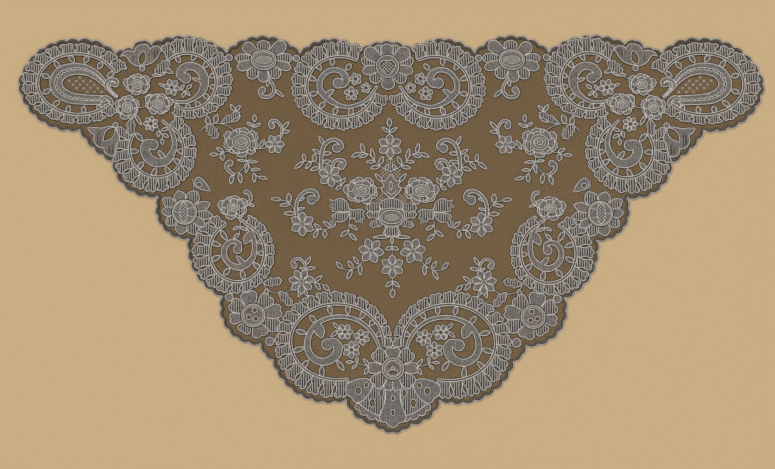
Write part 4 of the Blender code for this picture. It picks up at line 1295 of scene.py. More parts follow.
def bouquet_forms():
    heart, collar, urn, crown = (curve_through(both_halves(half), True)
                                 for half in (HEART, URN_COLLAR, URN, CROWN))
    return [Form([heart], openings=[oval(*HEART_SLOT)], lines=[curve_through(HEART_FOLD, False)]),
            ribbed_form(collar),
            Form([oval(*URN_LENS)], lines=lattice(*URN_LENS), cloth=False, gimp=FINE),
            dark_ring(*URN_LENS, gap=URN_LENS_GAP),
            Form([oval(*URN_BOWL)]),
            dark_ring(*URN_BOWL, gap=BOWL_GAP),
            Form([urn]),
            ribbed_form(crown)]


def centre_forms(name):
    """The forms of one spray on the centre line, both halves."""
    forms = bouquet_forms() if name == "bouquet" else []
    forms += [form for star in CENTRE_STARS.get(name, []) for form in star_forms(star)]
    half = [form for rose in CENTRE_ROSES.get(name, []) for form in rose_forms(rose)]
    half += [leaf_or_toothed(row) for row in CENTRE_LEAVES[name]]
    half += [stem(row) for row in CENTRE_STEMS.get(name, [])]
    for form in half:
        forms += [form, mirrored(form)]
    forms += [leaf(*row) for row in DROP_LEAVES.get(name, [])]
    low, high = CENTRE_LINES[name]
    return forms + [stem([(0, low), (0, high)])]


# %% [markdown]
# ## One list for the whole piece
#
# The order of the motifs says which one stays whole where two meet. Motifs on the centre line are worked
# on both halves at once, and the rest on one half only, because their cords and cloth are mirrored at the
# end.

# %% All motifs in order
for name in ("joining_roses", "ring_rose"):
    motifs[name] = spray_forms(name)
for name in FLOWERS:
    motifs[name] += dot_forms(name) + spray_forms(name)
for name in FANS:
    motifs[name] = fan_forms(name)
motifs["shell_wedge"] = shell_wedge_forms()
motifs["shell_side"] = shell_side_forms()
for name in CENTRE_LINES:
    motifs[name] = centre_forms(name)
for ring in RINGS:
    scroll = VOLUTES[ring.name]
    if ring.name == "end":
        volute = teardrop_forms(scroll)
    else:
        volute = [scroll_form(scroll, THORNS[ring.name])]
    motifs[f"ruffle_{ring.name}"] = ruffle_forms(ring)
    motifs[f"volute_{ring.name}"] = volute + filling_forms(ring.name)
for name in ("rose_spray", "scroll_sprig", "corner_sprig", "bouquet_side", "lower_spray"):
    motifs[name] = spray_forms(name)
motifs["edge_flower_d"] += [Form([curve_through(BUD, True)], openings=[oval(*BUD_HOLE)]), stem(BUD_STEM)]

CENTRED = {"top_medallion", "point_medallion", "shell_wedge", *CENTRE_LINES}
print("motifs:", len(motifs), "forms:", sum(len(forms) for forms in motifs.values()))

# %% [markdown]
# ## What shows of each form
#
# A line is hidden where an earlier form lies over it, and a form's own outline is hidden inside its other
# loops. The test looks at the middle of each short piece of line and keeps runs of what shows.

# %% Visible gimp
# The close ground, which paints shade, is narrower under slots and in dark rings. A run of fewer steps
# than the shortest is left out.
SHADE_SHARE = 0.7
SHORTEST_RUN = 2


def shown_runs(line, closed, covers):
    """The stretches of a line that no covering loop hides, as (points, closed)."""
    ends = np.roll(line, -1, 0) if closed else line[1:]
    starts = line if closed else line[:-1]
    shows = ~inside_any((starts + ends) / 2, covers)
    if shows.all():
        return [(line, closed)]
    if not shows.any():
        return []
    if closed:
        turn = int(np.flatnonzero(~shows)[0]) + 1
        line, shows = np.roll(line, -turn, 0), np.roll(shows, -turn)
        line = np.concatenate([line, line[:1]])
    changes = np.flatnonzero(np.diff(np.concatenate([[0], shows.astype(int), [0]])))
    return [(line[first:last + 1], False) for first, last in zip(changes[::2], changes[1::2])
            if last - first >= SHORTEST_RUN]


def sampled(line):
    """A straight thread cut into short pieces, so that a part of it can be hidden."""
    if len(line) > 2:
        return line
    steps = max(2, math.ceil(np.hypot(*(line[1] - line[0])) / STEP))
    return line[0] + (line[1] - line[0]) * np.linspace(0, 1, steps + 1)[:, None]


def loops_over(form, above):
    """Outlines of earlier forms that may hide a part of this one."""
    return [loop for other in above if other.meets(form) for loop in other.loops]


def gimp_of(form, above):
    """Every line of gimp on a form that shows, as (points, closed, thickness)."""
    covers = loops_over(form, above)
    lines = []
    if form.gimp:
        for number, loop in enumerate(form.loops):
            own = [other for index, other in enumerate(form.loops) if index != number]
            lines += [(*run, form.gimp) for run in shown_runs(loop, True, covers + own)]
    for loop in form.openings:
        lines += [(*run, OPENING_GIMP) for run in shown_runs(loop, True, covers)]
    for line in form.lines:
        thickness = LIGHT_GIMP if len(line) > 2 else FINE
        lines += [(*run, thickness) for run in shown_runs(sampled(line), False, covers)]
    return [(faired(points, closed), closed, thickness) for points, closed, thickness in lines]


def shade_of(form, above):
    """Lines of painted shade that only the close ground follows: under slots and in dark rings."""
    covers = loops_over(form, above)
    lines = [middle_line(slot) for slot in form.slots if len(slot) == 4] + form.dark
    runs = [run for line in lines for run in shown_runs(sampled(line), False, covers)]
    return [(faired(points), False, SHADE_SHARE) for points, _ in runs]


# %% Gimp of every motif
gimp, shade, placed = {}, {}, []
for name, forms in motifs.items():
    gimp[name], shade[name] = [], []
    for form in forms:
        gimp[name] += gimp_of(form, placed)
        shade[name] += shade_of(form, placed)
        placed.append(form)
length = sum(np.hypot(*np.diff(points, axis=0).T).sum() for lines in gimp.values() for points, *_ in lines)
print("gimp on one half in m:", round(length * MM, 1))

# %% [markdown]
# ## Toile
#
# All outlines of a motif and of the forms above it go into one triangulation, which cuts the plane along
# every line. Each triangle then belongs to the first form that its middle lies in, or to none. This keeps
# edges sharp where motifs meet, and slots and openings come out at once. Boolean cuts could do it too,
# far more slowly.

# %% Toile plates
def triangulated(loops):
    """Corners and triangles of the plane cut along all loops."""
    points = [Vector(point) for loop in loops for point in loop]
    edges, first = [], 0
    for loop in loops:
        edges += [(first + index, first + (index + 1) % len(loop)) for index in range(len(loop))]
        first += len(loop)
    corners, _, triangles, *_ = delaunay_2d_cdt(points, edges, [], 0, MERGE, False)
    return np.array(corners), np.array(triangles)


def own_triangles(name):
    """Corners and triangles of one motif's toile, with the number of the form that each belongs to."""
    forms = [form for form in motifs[name] if form.cloth]
    low = np.min([form.low for form in forms], axis=0)
    high = np.max([form.high for form in forms], axis=0)
    order = []
    for other, members in motifs.items():
        order += [(other, form) for form in members if (form.low < high).all() and (low < form.high).all()]
        if other == name:
            break
    order = [(other, form, [faired(loop, True) for loop in form.loops])
             for other, form in order if form.loops]
    loops = [loop for _, _, faired_loops in order for loop in faired_loops]
    for other, form, _ in order:
        if other == name:
            loops += [faired(loop, True) for loop in form.openings] + form.slots
    corners, triangles = triangulated(loops)
    middles = corners[triangles].mean(1)
    owner = np.full(len(triangles), -1)
    free = np.ones(len(triangles), bool)
    for number, (other, form, faired_loops) in enumerate(order):
        there = free & inside_any(middles, faired_loops)
        free &= ~there
        if other == name and form.cloth:
            open_there = inside_any(middles, form.openings) | inside_any(middles, form.slots)
            owner[there & ~open_there] = number
    kept = owner >= 0
    return corners, triangles[kept], owner[kept]


def plate(corners, triangles, base, top):
    """Points and polygons of a closed plate over flat triangles that run counter-clockwise."""
    used, inverse = np.unique(triangles, return_inverse=True)
    triangles = inverse.reshape(-1, 3)
    count = len(used)
    points = np.concatenate([laid(corners[used], base), laid(corners[used], top)])
    halves = {(a, b) for tri in triangles.tolist() for a, b in zip(tri, (*tri[1:], tri[0]))}
    walls = [[a, b, b + count, a + count] for a, b in sorted(halves) if (b, a) not in halves]
    return points, triangles[:, ::-1].tolist(), (triangles + count).tolist(), walls


# %% Both halves
def halves_of(name):
    return (1,) if name in CENTRED else (1, -1)


def toile_of(name):
    """The plates of one motif on both halves, as (corners, triangles, owners)."""
    corners, triangles, owner = own_triangles(name)
    return [(corners * (side, 1), triangles[:, ::side], owner) for side in halves_of(name)]


toile = {name: toile_of(name) for name in motifs}
print("toile triangles on top:", sum(len(tri) for parts in toile.values() for _, tri, _ in parts))

# %% [markdown]
# ## Threads and cloth as materials
#
# The thread is black, worn to warm greys: mid grey in the toile, silver grey in the gimp and brown in the
# thin net, which the pale floor shows through. The patterns use object coordinates, because every piece
# lies at the origin and is flat. The finish that is the same all over sits on the shader's own sockets.

# %% Material helpers
Noise = namedtuple("Noise", "scale detail span shades")
SHEEN_ROUGHNESS = 0.4
THREAD_SPECULAR = 0.3


def new_material(name, colour, roughness, sheen, specular=THREAD_SPECULAR):
    material = bpy.data.materials.new(name)
    material.use_nodes = True
    shader = material.node_tree.nodes["Principled BSDF"]
    shader.inputs["Base Color"].default_value = (*colour, 1.0)
    shader.inputs["Roughness"].default_value = roughness
    shader.inputs["Sheen Weight"].default_value = sheen
    shader.inputs["Sheen Roughness"].default_value = SHEEN_ROUGHNESS
    shader.inputs["Specular IOR Level"].default_value = specular
    return material, material.node_tree, shader


def add(tree, kind, settings=None, **inputs):
    """A node with its settings, and its inputs set to numbers or linked to other sockets."""
    node = tree.nodes.new(kind)
    for name, value in (settings or {}).items():
        setattr(node, name, value)
    for name, value in inputs.items():
        socket = node.inputs[int(name[1:])] if name[1:].isdigit() else node.inputs[name.replace("_", " ")]
        if isinstance(value, bpy.types.NodeSocket):
            tree.links.new(value, socket)
        else:
            socket.default_value = value
    return node


def maths(tree, operation, *values):
    inputs = {f"_{index}": value for index, value in enumerate(values)}
    return add(tree, "ShaderNodeMath", {"operation": operation}, **inputs).outputs[0]


def noise(tree, place, scale, detail):
    return add(tree, "ShaderNodeTexNoise", Vector=place, Scale=scale, Detail=detail).outputs["Fac"]


def stretched(tree, value, span, new_span):
    """A value whose span is stretched to a new one, and clamped to it."""
    return add(tree, "ShaderNodeMapRange", Value=value, From_Min=span[0], From_Max=span[1],
               To_Min=new_span[0], To_Max=new_span[1]).outputs[0]


def noise_shade(tree, place, kind):
    """Noise, stretched from the span it keeps to into the shades that it gives."""
    return stretched(tree, noise(tree, place, kind.scale, kind.detail), kind.span, kind.shades)


def blended(tree, share, first, second, blend="MIX"):
    """Two colours, given as tuples or sockets, blended by a share."""
    colours = [(*colour, 1.0) if isinstance(colour, tuple) else colour for colour in (first, second)]
    return add(tree, "ShaderNodeMix", {"data_type": "RGBA", "blend_type": blend}, Factor=share,
               _6=colours[0], _7=colours[1]).outputs[2]


def attribute(tree, name, output):
    return add(tree, "ShaderNodeAttribute", {"attribute_name": name}).outputs[output]


# %% Patterns
WAVE_DETAIL = 1.0


def object_place(tree):
    return add(tree, "ShaderNodeTexCoord").outputs["Object"]


def bands(tree, place, direction, pitch, distortion=0.0):
    """Even bands across the piece, pitch metres apart."""
    scale = math.pi / 10 / pitch
    return add(tree, "ShaderNodeTexWave", {"bands_direction": direction}, Vector=place, Scale=scale,
               Distortion=distortion, Detail=WAVE_DETAIL).outputs["Fac"]


def coloured(tree, shader, colour):
    tree.links.new(colour, shader.inputs["Base Color"])


def bump(tree, shader, height, strength, distance):
    """Raises the surface by a pattern, up to a distance in metres."""
    node = add(tree, "ShaderNodeBump", Height=height, Strength=strength, Distance=distance)
    tree.links.new(node.outputs["Normal"], shader.inputs["Normal"])


# %% [markdown]
# ## Toile and gimp
#
# Toile is woven: upright threads show, crossed by closer and fainter ones, so two sets of bands are
# added. Broad patches and small knots make it uneven. Each petal and leaf has a number of its own, which
# tints it a little warmer or cooler. Gimp is a twisted cord, so its bands run along the cord, on an
# attribute that holds the distance from the cord's start, and noise wears it.

# %% Toile material
TOILE_DARK = (0.068, 0.061, 0.051)
TOILE_LIGHT = (0.276, 0.244, 0.218)
TOILE_WARM = (1.07, 0.99, 0.94)
TOILE_COOL = (0.94, 1.00, 1.05)
TOILE_ROUGHNESS, TOILE_SHEEN = 0.78, 0.15
# Distances between threads in metres, and the shares of the upright and the level threads.
TOILE_UPRIGHT, TOILE_LEVEL = 0.0031, 0.0024
UPRIGHT_SHARE, LEVEL_SHARE = 0.65, 0.35
WEAVE_WANDER = 0.6
PATCHES = Noise(70.0, 3.0, (0.3, 0.7), (0.75, 1.15))
KNOTS = Noise(360.0, 2.0, (0.35, 0.65), (0.45, 1.55))
# Strength and distance of each material's bump.
TOILE_BUMP, GIMP_BUMP, GROUND_BUMP = (0.5, 0.0003), (0.4, 0.0002), (0.3, 0.0002)


def toile_material():
    material, tree, shader = new_material("toile", TOILE_LIGHT, TOILE_ROUGHNESS, TOILE_SHEEN)
    place = object_place(tree)
    upright = bands(tree, place, "X", TOILE_UPRIGHT, WEAVE_WANDER)
    level = bands(tree, place, "Y", TOILE_LEVEL, WEAVE_WANDER)
    woven = maths(tree, "MULTIPLY_ADD", upright, UPRIGHT_SHARE, maths(tree, "MULTIPLY", level, LEVEL_SHARE))
    uneven = maths(tree, "MULTIPLY", *(noise_shade(tree, place, kind) for kind in (PATCHES, KNOTS)))
    shade = maths(tree, "MULTIPLY", woven, uneven)
    cloth = blended(tree, shade, TOILE_DARK, TOILE_LIGHT)
    tint = blended(tree, attribute(tree, "tint", "Fac"), TOILE_WARM, TOILE_COOL)
    coloured(tree, shader, blended(tree, 1.0, cloth, tint, "MULTIPLY"))
    bump(tree, shader, woven, *TOILE_BUMP)
    return material


toile_cloth = toile_material()

# %% Gimp material
GIMP_DARK = (0.32, 0.295, 0.265)
GIMP_LIGHT = (0.86, 0.81, 0.74)
EDGE_DARK = (0.26, 0.245, 0.22)
EDGE_LIGHT = (0.66, 0.625, 0.57)
GIMP_ROUGHNESS, GIMP_SHEEN = 0.55, 0.3
TWIST_PITCH = 0.0016
TWIST_SHARE, WEAR_SHARE = 0.3, 0.7
WEAR = Noise(160.0, 2.0, (0.3, 0.7), (0.35, 1.0))


def gimp_material(name, dark, light):
    material, tree, shader = new_material(name, light, GIMP_ROUGHNESS, GIMP_SHEEN)
    twist = bands(tree, attribute(tree, "run", "Vector"), "DIAGONAL", TWIST_PITCH)
    worn = noise_shade(tree, object_place(tree), WEAR)
    mixed = maths(tree, "MULTIPLY_ADD", worn, WEAR_SHARE, maths(tree, "MULTIPLY", twist, TWIST_SHARE))
    coloured(tree, shader, blended(tree, mixed, dark, light))
    bump(tree, shader, twist, *GIMP_BUMP)
    return material


gimp_thread = gimp_material("gimp", GIMP_DARK, GIMP_LIGHT)
edge_thread = gimp_material("edge_thread", EDGE_DARK, EDGE_LIGHT)

# %% [markdown]
# ## Close ground with painted shade, and open net
#
# Under a motif's outline the net is worked close, and shows as a dark line beside the gimp. That dark band
# is partly real close ground and partly painted shade, standing for the shadow that the cords cast. The
# open net
# is a honeycomb: three waves of cosines at 120 degrees to each other add up to a lattice of round peaks,
# and where the sum is high the net is a hole. The alpha follows that sum, so the floor below shows
# through the meshes.

# %% Close ground and painted shade material
GROUND_AND_PAINTED_SHADE_DARK = (0.026, 0.022, 0.018)
GROUND_AND_PAINTED_SHADE_LIGHT = (0.062, 0.053, 0.044)
EDGE_GROUND_DARK = (0.060, 0.047, 0.035)
EDGE_GROUND_LIGHT = (0.150, 0.118, 0.086)
GROUND_ROUGHNESS, GROUND_SHEEN = 0.9, 0.05
GROUND_WANDER = 0.8


def close_ground_material(name, dark, light):
    material, tree, shader = new_material(name, light, GROUND_ROUGHNESS, GROUND_SHEEN)
    weave = bands(tree, object_place(tree), "X", TOILE_UPRIGHT, GROUND_WANDER)
    coloured(tree, shader, blended(tree, weave, dark, light))
    bump(tree, shader, weave, *GROUND_BUMP)
    return material


# The dark ground beside the gimp is painted shade as well as close ground.
close_ground = close_ground_material("close_ground", GROUND_AND_PAINTED_SHADE_DARK, GROUND_AND_PAINTED_SHADE_LIGHT)
edge_close_ground = close_ground_material("edge_close_ground", EDGE_GROUND_DARK, EDGE_GROUND_LIGHT)

# %% Net material
MESH_PITCH = 0.0015
MESH_OPEN_FROM, MESH_OPEN_TO = -1.05, 0.05
THREAD_ALPHA, HOLE_ALPHA = 0.92, 0.05
NET_DARK = (0.094, 0.054, 0.025)
NET_WARM = (0.185, 0.082, 0.034)
NET_GREEN = (0.106, 0.088, 0.034)
NET_ROUGHNESS, NET_SPECULAR = 0.9, 0.1
# Scale and detail of the net's noise. Streaks run up the net, because the place they are drawn at is
# squeezed in that direction.
TONES, STREAKS = (22.0, 2.0), (300.0, 1.0)
STREAK_SQUEEZE = (1.0, 0.15, 1.0)


def net_material():
    material, tree, shader = new_material("net", NET_DARK, NET_ROUGHNESS, 0.0, NET_SPECULAR)
    place = object_place(tree)
    frequency = 4 * math.pi / math.sqrt(3) / MESH_PITCH
    waves = []
    for number in range(3):
        turn = 2 * math.pi * number / 3 + math.pi / 2
        way = (frequency * math.cos(turn), frequency * math.sin(turn), 0.0)
        along = add(tree, "ShaderNodeVectorMath", {"operation": "DOT_PRODUCT"}, _0=place, _1=way)
        waves.append(maths(tree, "COSINE", along.outputs["Value"]))
    total = maths(tree, "ADD", maths(tree, "ADD", waves[0], waves[1]), waves[2])
    alpha = stretched(tree, total, (MESH_OPEN_FROM, MESH_OPEN_TO), (THREAD_ALPHA, HOLE_ALPHA))
    tree.links.new(alpha, shader.inputs["Alpha"])
    other = blended(tree, noise(tree, place, *TONES), NET_WARM, NET_GREEN)
    drawn = add(tree, "ShaderNodeVectorMath", {"operation": "MULTIPLY"}, _0=place, _1=STREAK_SQUEEZE)
    streaks = noise(tree, drawn.outputs[0], *STREAKS)
    coloured(tree, shader, blended(tree, streaks, NET_DARK, other))
    return material


net_thread = net_material()

# %% [markdown]
# ## Cords by Geometry Nodes
#
# A cord follows a line, so its mesh comes from Curve to Mesh. The lines go in as a mesh of bare edges
# with a thickness at each point. The tree turns them into curves, keeps their profile upright, measures
# the distance along each, sweeps a flat round profile and sets the material. The same tree with a wide,
# low profile lays the close ground under the gimp, a dark band that also paints the shade beside the cord.

# %% Start and end of a tree
def new_tree(name, **kinds):
    """A tree that takes a geometry and named sizes, its input sockets and its sizes' identifiers."""
    tree = bpy.data.node_groups.new(name, "GeometryNodeTree")
    face = tree.interface
    face.new_socket("Geometry", in_out="INPUT", socket_type="NodeSocketGeometry")
    sizes = [face.new_socket(label, in_out="INPUT", socket_type=f"NodeSocket{kind}").identifier
             for label, kind in kinds.items()]
    face.new_socket("Geometry", in_out="OUTPUT", socket_type="NodeSocketGeometry")
    return tree, tree.nodes.new("NodeGroupInput").outputs, sizes


def end_tree(tree, geometry, material):
    """The last nodes of a tree: real geometry with its material."""
    realized = add(tree, "GeometryNodeRealizeInstances", Geometry=geometry)
    dressed = add(tree, "GeometryNodeSetMaterial", Geometry=realized.outputs[0], Material=material)
    tree.links.new(dressed.outputs[0], tree.nodes.new("NodeGroupOutput").inputs[0])


# %% Tree that sweeps a profile
def stretched_circle(tree, sides, wide, high):
    circle = add(tree, "GeometryNodeCurvePrimitiveCircle", Resolution=sides, Radius=0.5)
    scale = add(tree, "ShaderNodeCombineXYZ", X=wide, Y=high, Z=1.0)
    return add(tree, "GeometryNodeTransform", Geometry=circle.outputs[0], Scale=scale.outputs[0]).outputs[0]


def swept_tree(name, material):
    tree, inputs, sizes = new_tree(name, Width="Float", Height="Float", Sides="Int")
    curves = add(tree, "GeometryNodeMeshToCurve", Mesh=inputs["Geometry"])
    upright = add(tree, "GeometryNodeSetCurveNormal", {"mode": "Z_UP"}, Curve=curves.outputs[0])
    length = add(tree, "GeometryNodeSplineParameter").outputs["Length"]
    along = add(tree, "ShaderNodeCombineXYZ", X=length).outputs[0]
    points = {"data_type": "FLOAT_VECTOR", "domain": "POINT"}
    measured = add(tree, "GeometryNodeStoreNamedAttribute", points, Geometry=upright.outputs[0],
                   Name="run", Value=along)
    thickness = add(tree, "GeometryNodeInputNamedAttribute", {"data_type": "FLOAT"}, Name="thickness")
    profile = stretched_circle(tree, inputs["Sides"], inputs["Width"], inputs["Height"])
    swept = add(tree, "GeometryNodeCurveToMesh", Curve=measured.outputs[0], Profile_Curve=profile,
                Scale=thickness.outputs["Attribute"], Fill_Caps=True)
    end_tree(tree, swept.outputs[0], material)
    return tree, sizes


gimp_tree, gimp_sizes = swept_tree("gimp_cord", gimp_thread)
ground_and_painted_shade_tree, ground_and_painted_shade_sizes = swept_tree("close_ground", close_ground)
print("nodes in the cord's tree:", len(gimp_tree.nodes))


# %% Objects that trees work on
def new_object(name, points, edges, polygons, material=None):
    mesh = bpy.data.meshes.new(name)
    mesh.from_pydata(points, edges, polygons)
    if material:
        mesh.materials.append(material)
    thing = bpy.data.objects.new(name, mesh)
    bpy.context.scene.collection.objects.link(thing)
    return thing


def edges_object(name, lines, height):
    """An object of bare edges along the lines, at one height, with each point's thickness."""
    points, edges, thickness = [], [], []
    for line, closed, share in lines:
        first, count = len(thickness), len(line)
        points.append(laid(line, height))
        edges += [(first + index, first + index + 1) for index in range(count - 1)]
        if closed:
            edges.append((first + count - 1, first))
        thickness += [share] * count
    thing = new_object(name, np.concatenate(points).tolist(), edges, [])
    thing.data.attributes.new("thickness", "FLOAT", "POINT").data.foreach_set("value", thickness)
    return thing


def grown(thing, tree, sizes, values):
    """Replaces an object's mesh by what a Geometry Nodes tree makes of it."""
    modifier = thing.modifiers.new("made", "NODES")
    modifier.node_group = tree
    for identifier, value in zip(sizes, values):
        modifier[identifier] = value
    bpy.context.view_layer.update()
    evaluated = thing.evaluated_get(bpy.context.evaluated_depsgraph_get())
    mesh = bpy.data.meshes.new_from_object(evaluated)
    thing.modifiers.remove(modifier)
    thing.data = mesh
    mesh.name = thing.name
    return thing


def both_sides(lines_of, name):
    """A motif's lines on both halves."""
    return [(line * (side, 1), closed, share)
            for side in halves_of(name) for line, closed, share in lines_of[name]]


# %% [markdown]
# ## Families of pieces
#
# The motifs go on as a few families, each with its toile, its gimp and its close ground, which also
# paints the shade beside the gimp. Each family stands for the CAD solids of its motifs, which it hides.

# %% Families
FAMILIES = {
    "ruffles": [f"ruffle_{ring.name}" for ring in RINGS],
    "volutes": [f"volute_{ring.name}" for ring in RINGS],
    "border_flowers": ["top_medallion", "point_medallion", *FLOWERS],
    "roses_and_fans": ["joining_roses", "ring_rose", *FANS, "shell_wedge", "shell_side"],
    "field": [*CENTRE_LINES, "rose_spray", "scroll_sprig", "corner_sprig", "bouquet_side", "lower_spray"],
}

# %% Pieces of a family
# Multiples of this part of one spread the tints of neighbours evenly.
GOLDEN = 0.618034
WALL_TINT = 0.5
GIMP_SIDES, GROUND_SIDES = 5, 4
# The close ground's profile is higher than the layer it fills, so that it sinks into the net.
GROUND_SWELL = 1.4
GROUND_FAIR = 0.35


def toile_piece(family, names):
    points, polygons, tints, first = [], [], [], 0
    for name in names:
        for corners, triangles, owner in toile[name]:
            places, under, over, walls = plate(corners, triangles, TOILE_BASE, TOILE_TOP)
            tint = (owner * GOLDEN) % 1.0
            polygons += [[first + index for index in face] for face in under + over + walls]
            tints += [*tint, *tint, *([WALL_TINT] * len(walls))]
            points.append(places)
            first += len(places)
    piece = new_object(f"toile_{family}", np.concatenate(points).tolist(), [], polygons, toile_cloth)
    piece.data.attributes.new("tint", "FLOAT", "FACE").data.foreach_set("value", tints)
    return piece


def gimp_piece(name, lines):
    sizes = (GIMP_WIDTH * MM, GIMP_HEIGHT * MM, GIMP_SIDES)
    piece = grown(edges_object(name, lines, TOILE_TOP), gimp_tree, gimp_sizes, sizes)
    piece.data.shade_smooth()
    return piece


def ground_and_painted_shade_piece(name, lines, width=GROUND_AND_PAINTED_SHADE_WIDTH):
    coarse = [(faired(line, closed, GROUND_FAIR), closed, 1.0 if share > SHADE_SHARE else SHADE_SHARE)
              for line, closed, share in lines]
    sizes = (width * MM, GROUND_SWELL * (GROUND_TOP - NET_TOP) * MM, GROUND_SIDES)
    return grown(edges_object(name, coarse, (GROUND_TOP + NET_TOP) / 2), ground_and_painted_shade_tree, ground_and_painted_shade_sizes, sizes)


def lowered(piece, height):
    """A cord laid at its own height in place of the toile's top."""
    piece.data.transform(Matrix.Translation((0, 0, (height - TOILE_TOP) * MM)))


def triangle_count(piece):
    return sum(len(face.vertices) - 2 for face in piece.data.polygons)


def family_pieces(family, names):
    lines = [line for name in names for line in both_sides(gimp, name)]
    shades = [line for name in names for line in both_sides(shade, name)]
    # The ground piece is a dark band under the gimp and the shade lines: close ground and painted shade
    # beside the cords.
    made = [toile_piece(family, names), gimp_piece(f"gimp_{family}", lines),
            ground_and_painted_shade_piece(f"ground_{family}", lines + shades)]
    print(family, "triangles:", [triangle_count(piece) for piece in made])
    return made


families = {family: family_pieces(family, names) for family, names in FAMILIES.items()}

# %% [markdown]
# ## Net and edge
#
# The net is one thin sheet with the whole scalloped outline. The edge is finished by a cord that follows
# the scallops, by a strip of close brown ground inside it, and by picots: loops a few millimetres wide,
# instanced along the edge.

# %% Net sheet
def net_piece():
    corners, triangles = triangulated([EDGE])
    kept = triangles[inside(corners[triangles].mean(1), EDGE)]
    points, under, over, walls = plate(corners, kept, 0.0, NET_TOP)
    return new_object("net", points.tolist(), [], under + over + walls, net_thread)


net = net_piece()

# %% Edge cord and its dark ground
EDGE_CORD_HEIGHT = 0.9
EDGE_CORD_SHARE = 0.95
EDGE_INSET = 3.2
EDGE_GROUND_WIDTH = 6.0

edge_cord = gimp_piece("edge_cord", [(faired(EDGE, True), True, EDGE_CORD_SHARE)])
edge_cord.data.materials[0] = edge_thread
lowered(edge_cord, EDGE_CORD_HEIGHT)
edge_ground = ground_and_painted_shade_piece("edge_ground", [(moved_in(EDGE, EDGE_INSET), True, 1.0)], EDGE_GROUND_WIDTH)
edge_ground.data.materials[0] = edge_close_ground

# %% Tree for the picots
PICOT_PITCH = 4.2
PICOT_WIDE, PICOT_HIGH = 2.6, 2.8
PICOT_THREAD = 0.7
PICOT_OUT = 1.1
PICOT_SIDES, PICOT_THREAD_SIDES = 8, 4


def picot_tree():
    """Loops of thread on points along the edge, turned to follow it."""
    tree, inputs, sizes = new_tree("picots", Pitch="Float", Wide="Float", High="Float", Thread="Float")
    curve = add(tree, "GeometryNodeMeshToCurve", Mesh=inputs["Geometry"])
    spots = add(tree, "GeometryNodeCurveToPoints", {"mode": "LENGTH"}, Curve=curve.outputs[0],
                Length=inputs["Pitch"])
    turn = add(tree, "FunctionNodeAlignRotationToVector", {"axis": "X"}, Vector=spots.outputs["Tangent"])
    loop = stretched_circle(tree, PICOT_SIDES, inputs["Wide"], inputs["High"])
    radius = maths(tree, "MULTIPLY", inputs["Thread"], 0.5)
    thread = add(tree, "GeometryNodeCurvePrimitiveCircle", Resolution=PICOT_THREAD_SIDES, Radius=radius)
    picot = add(tree, "GeometryNodeCurveToMesh", Curve=loop, Profile_Curve=thread.outputs[0])
    copies = add(tree, "GeometryNodeInstanceOnPoints", Points=spots.outputs[0], Instance=picot.outputs[0],
                 Rotation=turn.outputs[0])
    end_tree(tree, copies.outputs[0], edge_thread)
    return tree, sizes


# %% Picots
picots_tree, picot_sizes = picot_tree()
picots = edges_object("picots", [(moved_in(EDGE, -PICOT_OUT), True, 1.0)], EDGE_CORD_HEIGHT)
picots = grown(picots, picots_tree, picot_sizes,
               (PICOT_PITCH * MM, PICOT_WIDE * MM, PICOT_HIGH * MM, PICOT_THREAD * MM))
picots.data.shade_smooth()
print("picot triangles:", triangle_count(picots))

# %% [markdown]
# ## Lattices of small crosses
#
# Net fillings are powdered with tiny crosses: in the teardrops and round the bouquet's heart. Their
# places are a staggered grid, kept where an outline allows it. Each is a pair of short threads, swept
# like the gimp.

# %% Powdered crosses
CROSS_ARM, DOT_ARM = 6.8, 3.0
CROSS_SHARE = 0.6
CROSS_HEIGHT = 0.85
TEARDROP_PITCH = 13.5
DIAPER_PITCH = 6.8
TEARDROP_INSIDE = 1.15
DIAPER_AREAS = [
    [(0, 150), (20, 118), (19, 108), (11, 104), (0, 115)],
    [(16, 80), (31, 60), (26, 52), (20, 60), (13, 68)],
]


def staggered(outline, pitch):
    low, high = outline.min(0), outline.max(0)
    spots = []
    for row, up in enumerate(np.arange(low[1], high[1], pitch / 2)):
        offset = pitch / 2 * (row % 2)
        spots += [(out, up) for out in np.arange(low[0] + offset, high[0], pitch)]
    spots = np.array(spots)
    return spots[inside(spots, outline)]


def cross_lines(spots, arm):
    """Two short threads that cross at each spot, with their thickness."""
    reach = arm / 2 / math.sqrt(2)
    return [(np.array([spot - (reach, lean * reach), spot + (reach, lean * reach)]), False, CROSS_SHARE)
            for spot in spots for lean in (1, -1)]


teardrop_spots = staggered(band_edge(VOLUTES["end"].path, TEARDROP_INSIDE), TEARDROP_PITCH)
diaper_spots = np.concatenate([staggered(np.array(area, float), DIAPER_PITCH) for area in DIAPER_AREAS])
crosses = cross_lines(teardrop_spots, CROSS_ARM) + cross_lines(diaper_spots, DOT_ARM)
crosses += [(line * (-1, 1), closed, share) for line, closed, share in crosses]
powder = gimp_piece("powdered_crosses", crosses)
lowered(powder, CROSS_HEIGHT)
print("crosses:", len(crosses) // 2, "triangles:", triangle_count(powder))

# %% [markdown]
# ## Floor and light
#
# The net is dark thread, but it reads as warm brown because the pale golden floor shows through its
# meshes. So the floor's tone matters as much as the thread's. One broad, soft sun from the upper left
# models the cords, and an even sky fills the shadows, as in a softly lit studio.

# %% Floor
FLOOR_DROP = 0.0003
FLOOR_HALF = 12.0
FLOOR_COLOUR = (0.600, 0.425, 0.228)
FLOOR_ROUGHNESS = 0.9


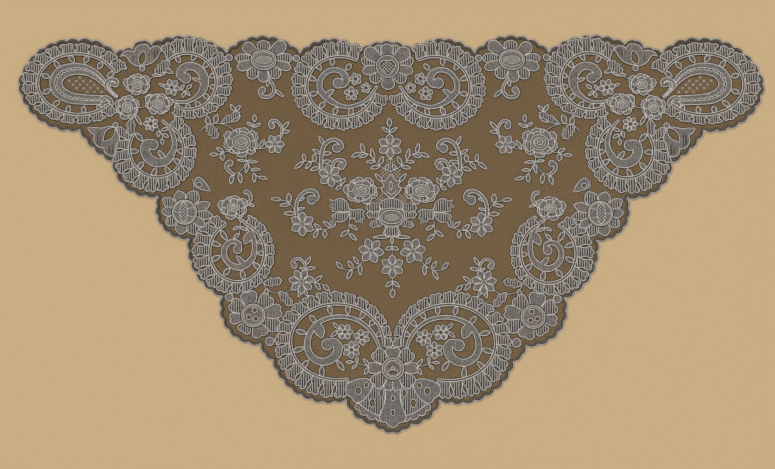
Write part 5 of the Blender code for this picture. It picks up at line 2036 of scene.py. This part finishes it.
def make_floor():
    corners = [(x * FLOOR_HALF, y * FLOOR_HALF, -FLOOR_DROP)
               for x, y in ((-1, -1), (1, -1), (1, 1), (-1, 1))]
    material = new_material("floor", FLOOR_COLOUR, FLOOR_ROUGHNESS, 0.0)[0]
    new_object("floor", corners, [], [(0, 1, 2, 3)], material)


make_floor()

# %% Light
SKY_COLOUR = (1.0, 1.0, 1.0, 1.0)
SKY_STRENGTH = 0.55
SUN_STRENGTH = 1.65
SUN_ANGLE = 25.0
SUN_TILT, SUN_TURN = 38.0, 40.0


def make_light():
    world = bpy.data.worlds.new("studio")
    world.use_nodes = True
    background = world.node_tree.nodes["Background"]
    background.inputs["Color"].default_value = SKY_COLOUR
    background.inputs["Strength"].default_value = SKY_STRENGTH
    bpy.context.scene.world = world
    data = bpy.data.lights.new("soft_sun", "SUN")
    data.energy = SUN_STRENGTH
    data.angle = math.radians(SUN_ANGLE)
    sun = bpy.data.objects.new("soft_sun", data)
    sun.rotation_euler = (math.radians(-SUN_TILT), 0.0, math.radians(SUN_TURN))
    bpy.context.scene.collection.objects.link(sun)
    bpy.context.scene.view_settings.view_transform = "Standard"


make_light()

# %% [markdown]
# ## Handing the pieces over
#
# Every piece rides on the one body, and the solids that the families and the net stand for are
# hidden. The net is the lace's one sheet: its flat size is the size of the lace, because it lies flat, and
# its area is that of the scalloped outline. Everything else lies on it.

# %% Riding and replaced solids
def nodes_of(name):
    """The CAD solids of one motif."""
    return [name] if name in CENTRED else [f"{name}_left", f"{name}_right"]


def hand_over(piece, slot_name):
    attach(piece, "root")


for family, made in families.items():
    for piece in made:
        hand_over(piece, "net" if piece.name.startswith("ground") else "toile")
    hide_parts(*[node for name in FAMILIES[family] for node in nodes_of(name)])
hand_over(net, "net")
edge_pieces = {edge_cord: "toile", edge_ground: "net", picots: "toile", powder: "toile"}
for piece, slot_name in edge_pieces.items():
    hand_over(piece, slot_name)
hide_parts("net_ground")
on_the_net = [piece for made in families.values() for piece in made] + [*edge_pieces]
low, high = (Vector(corner) for corner in cad_box)
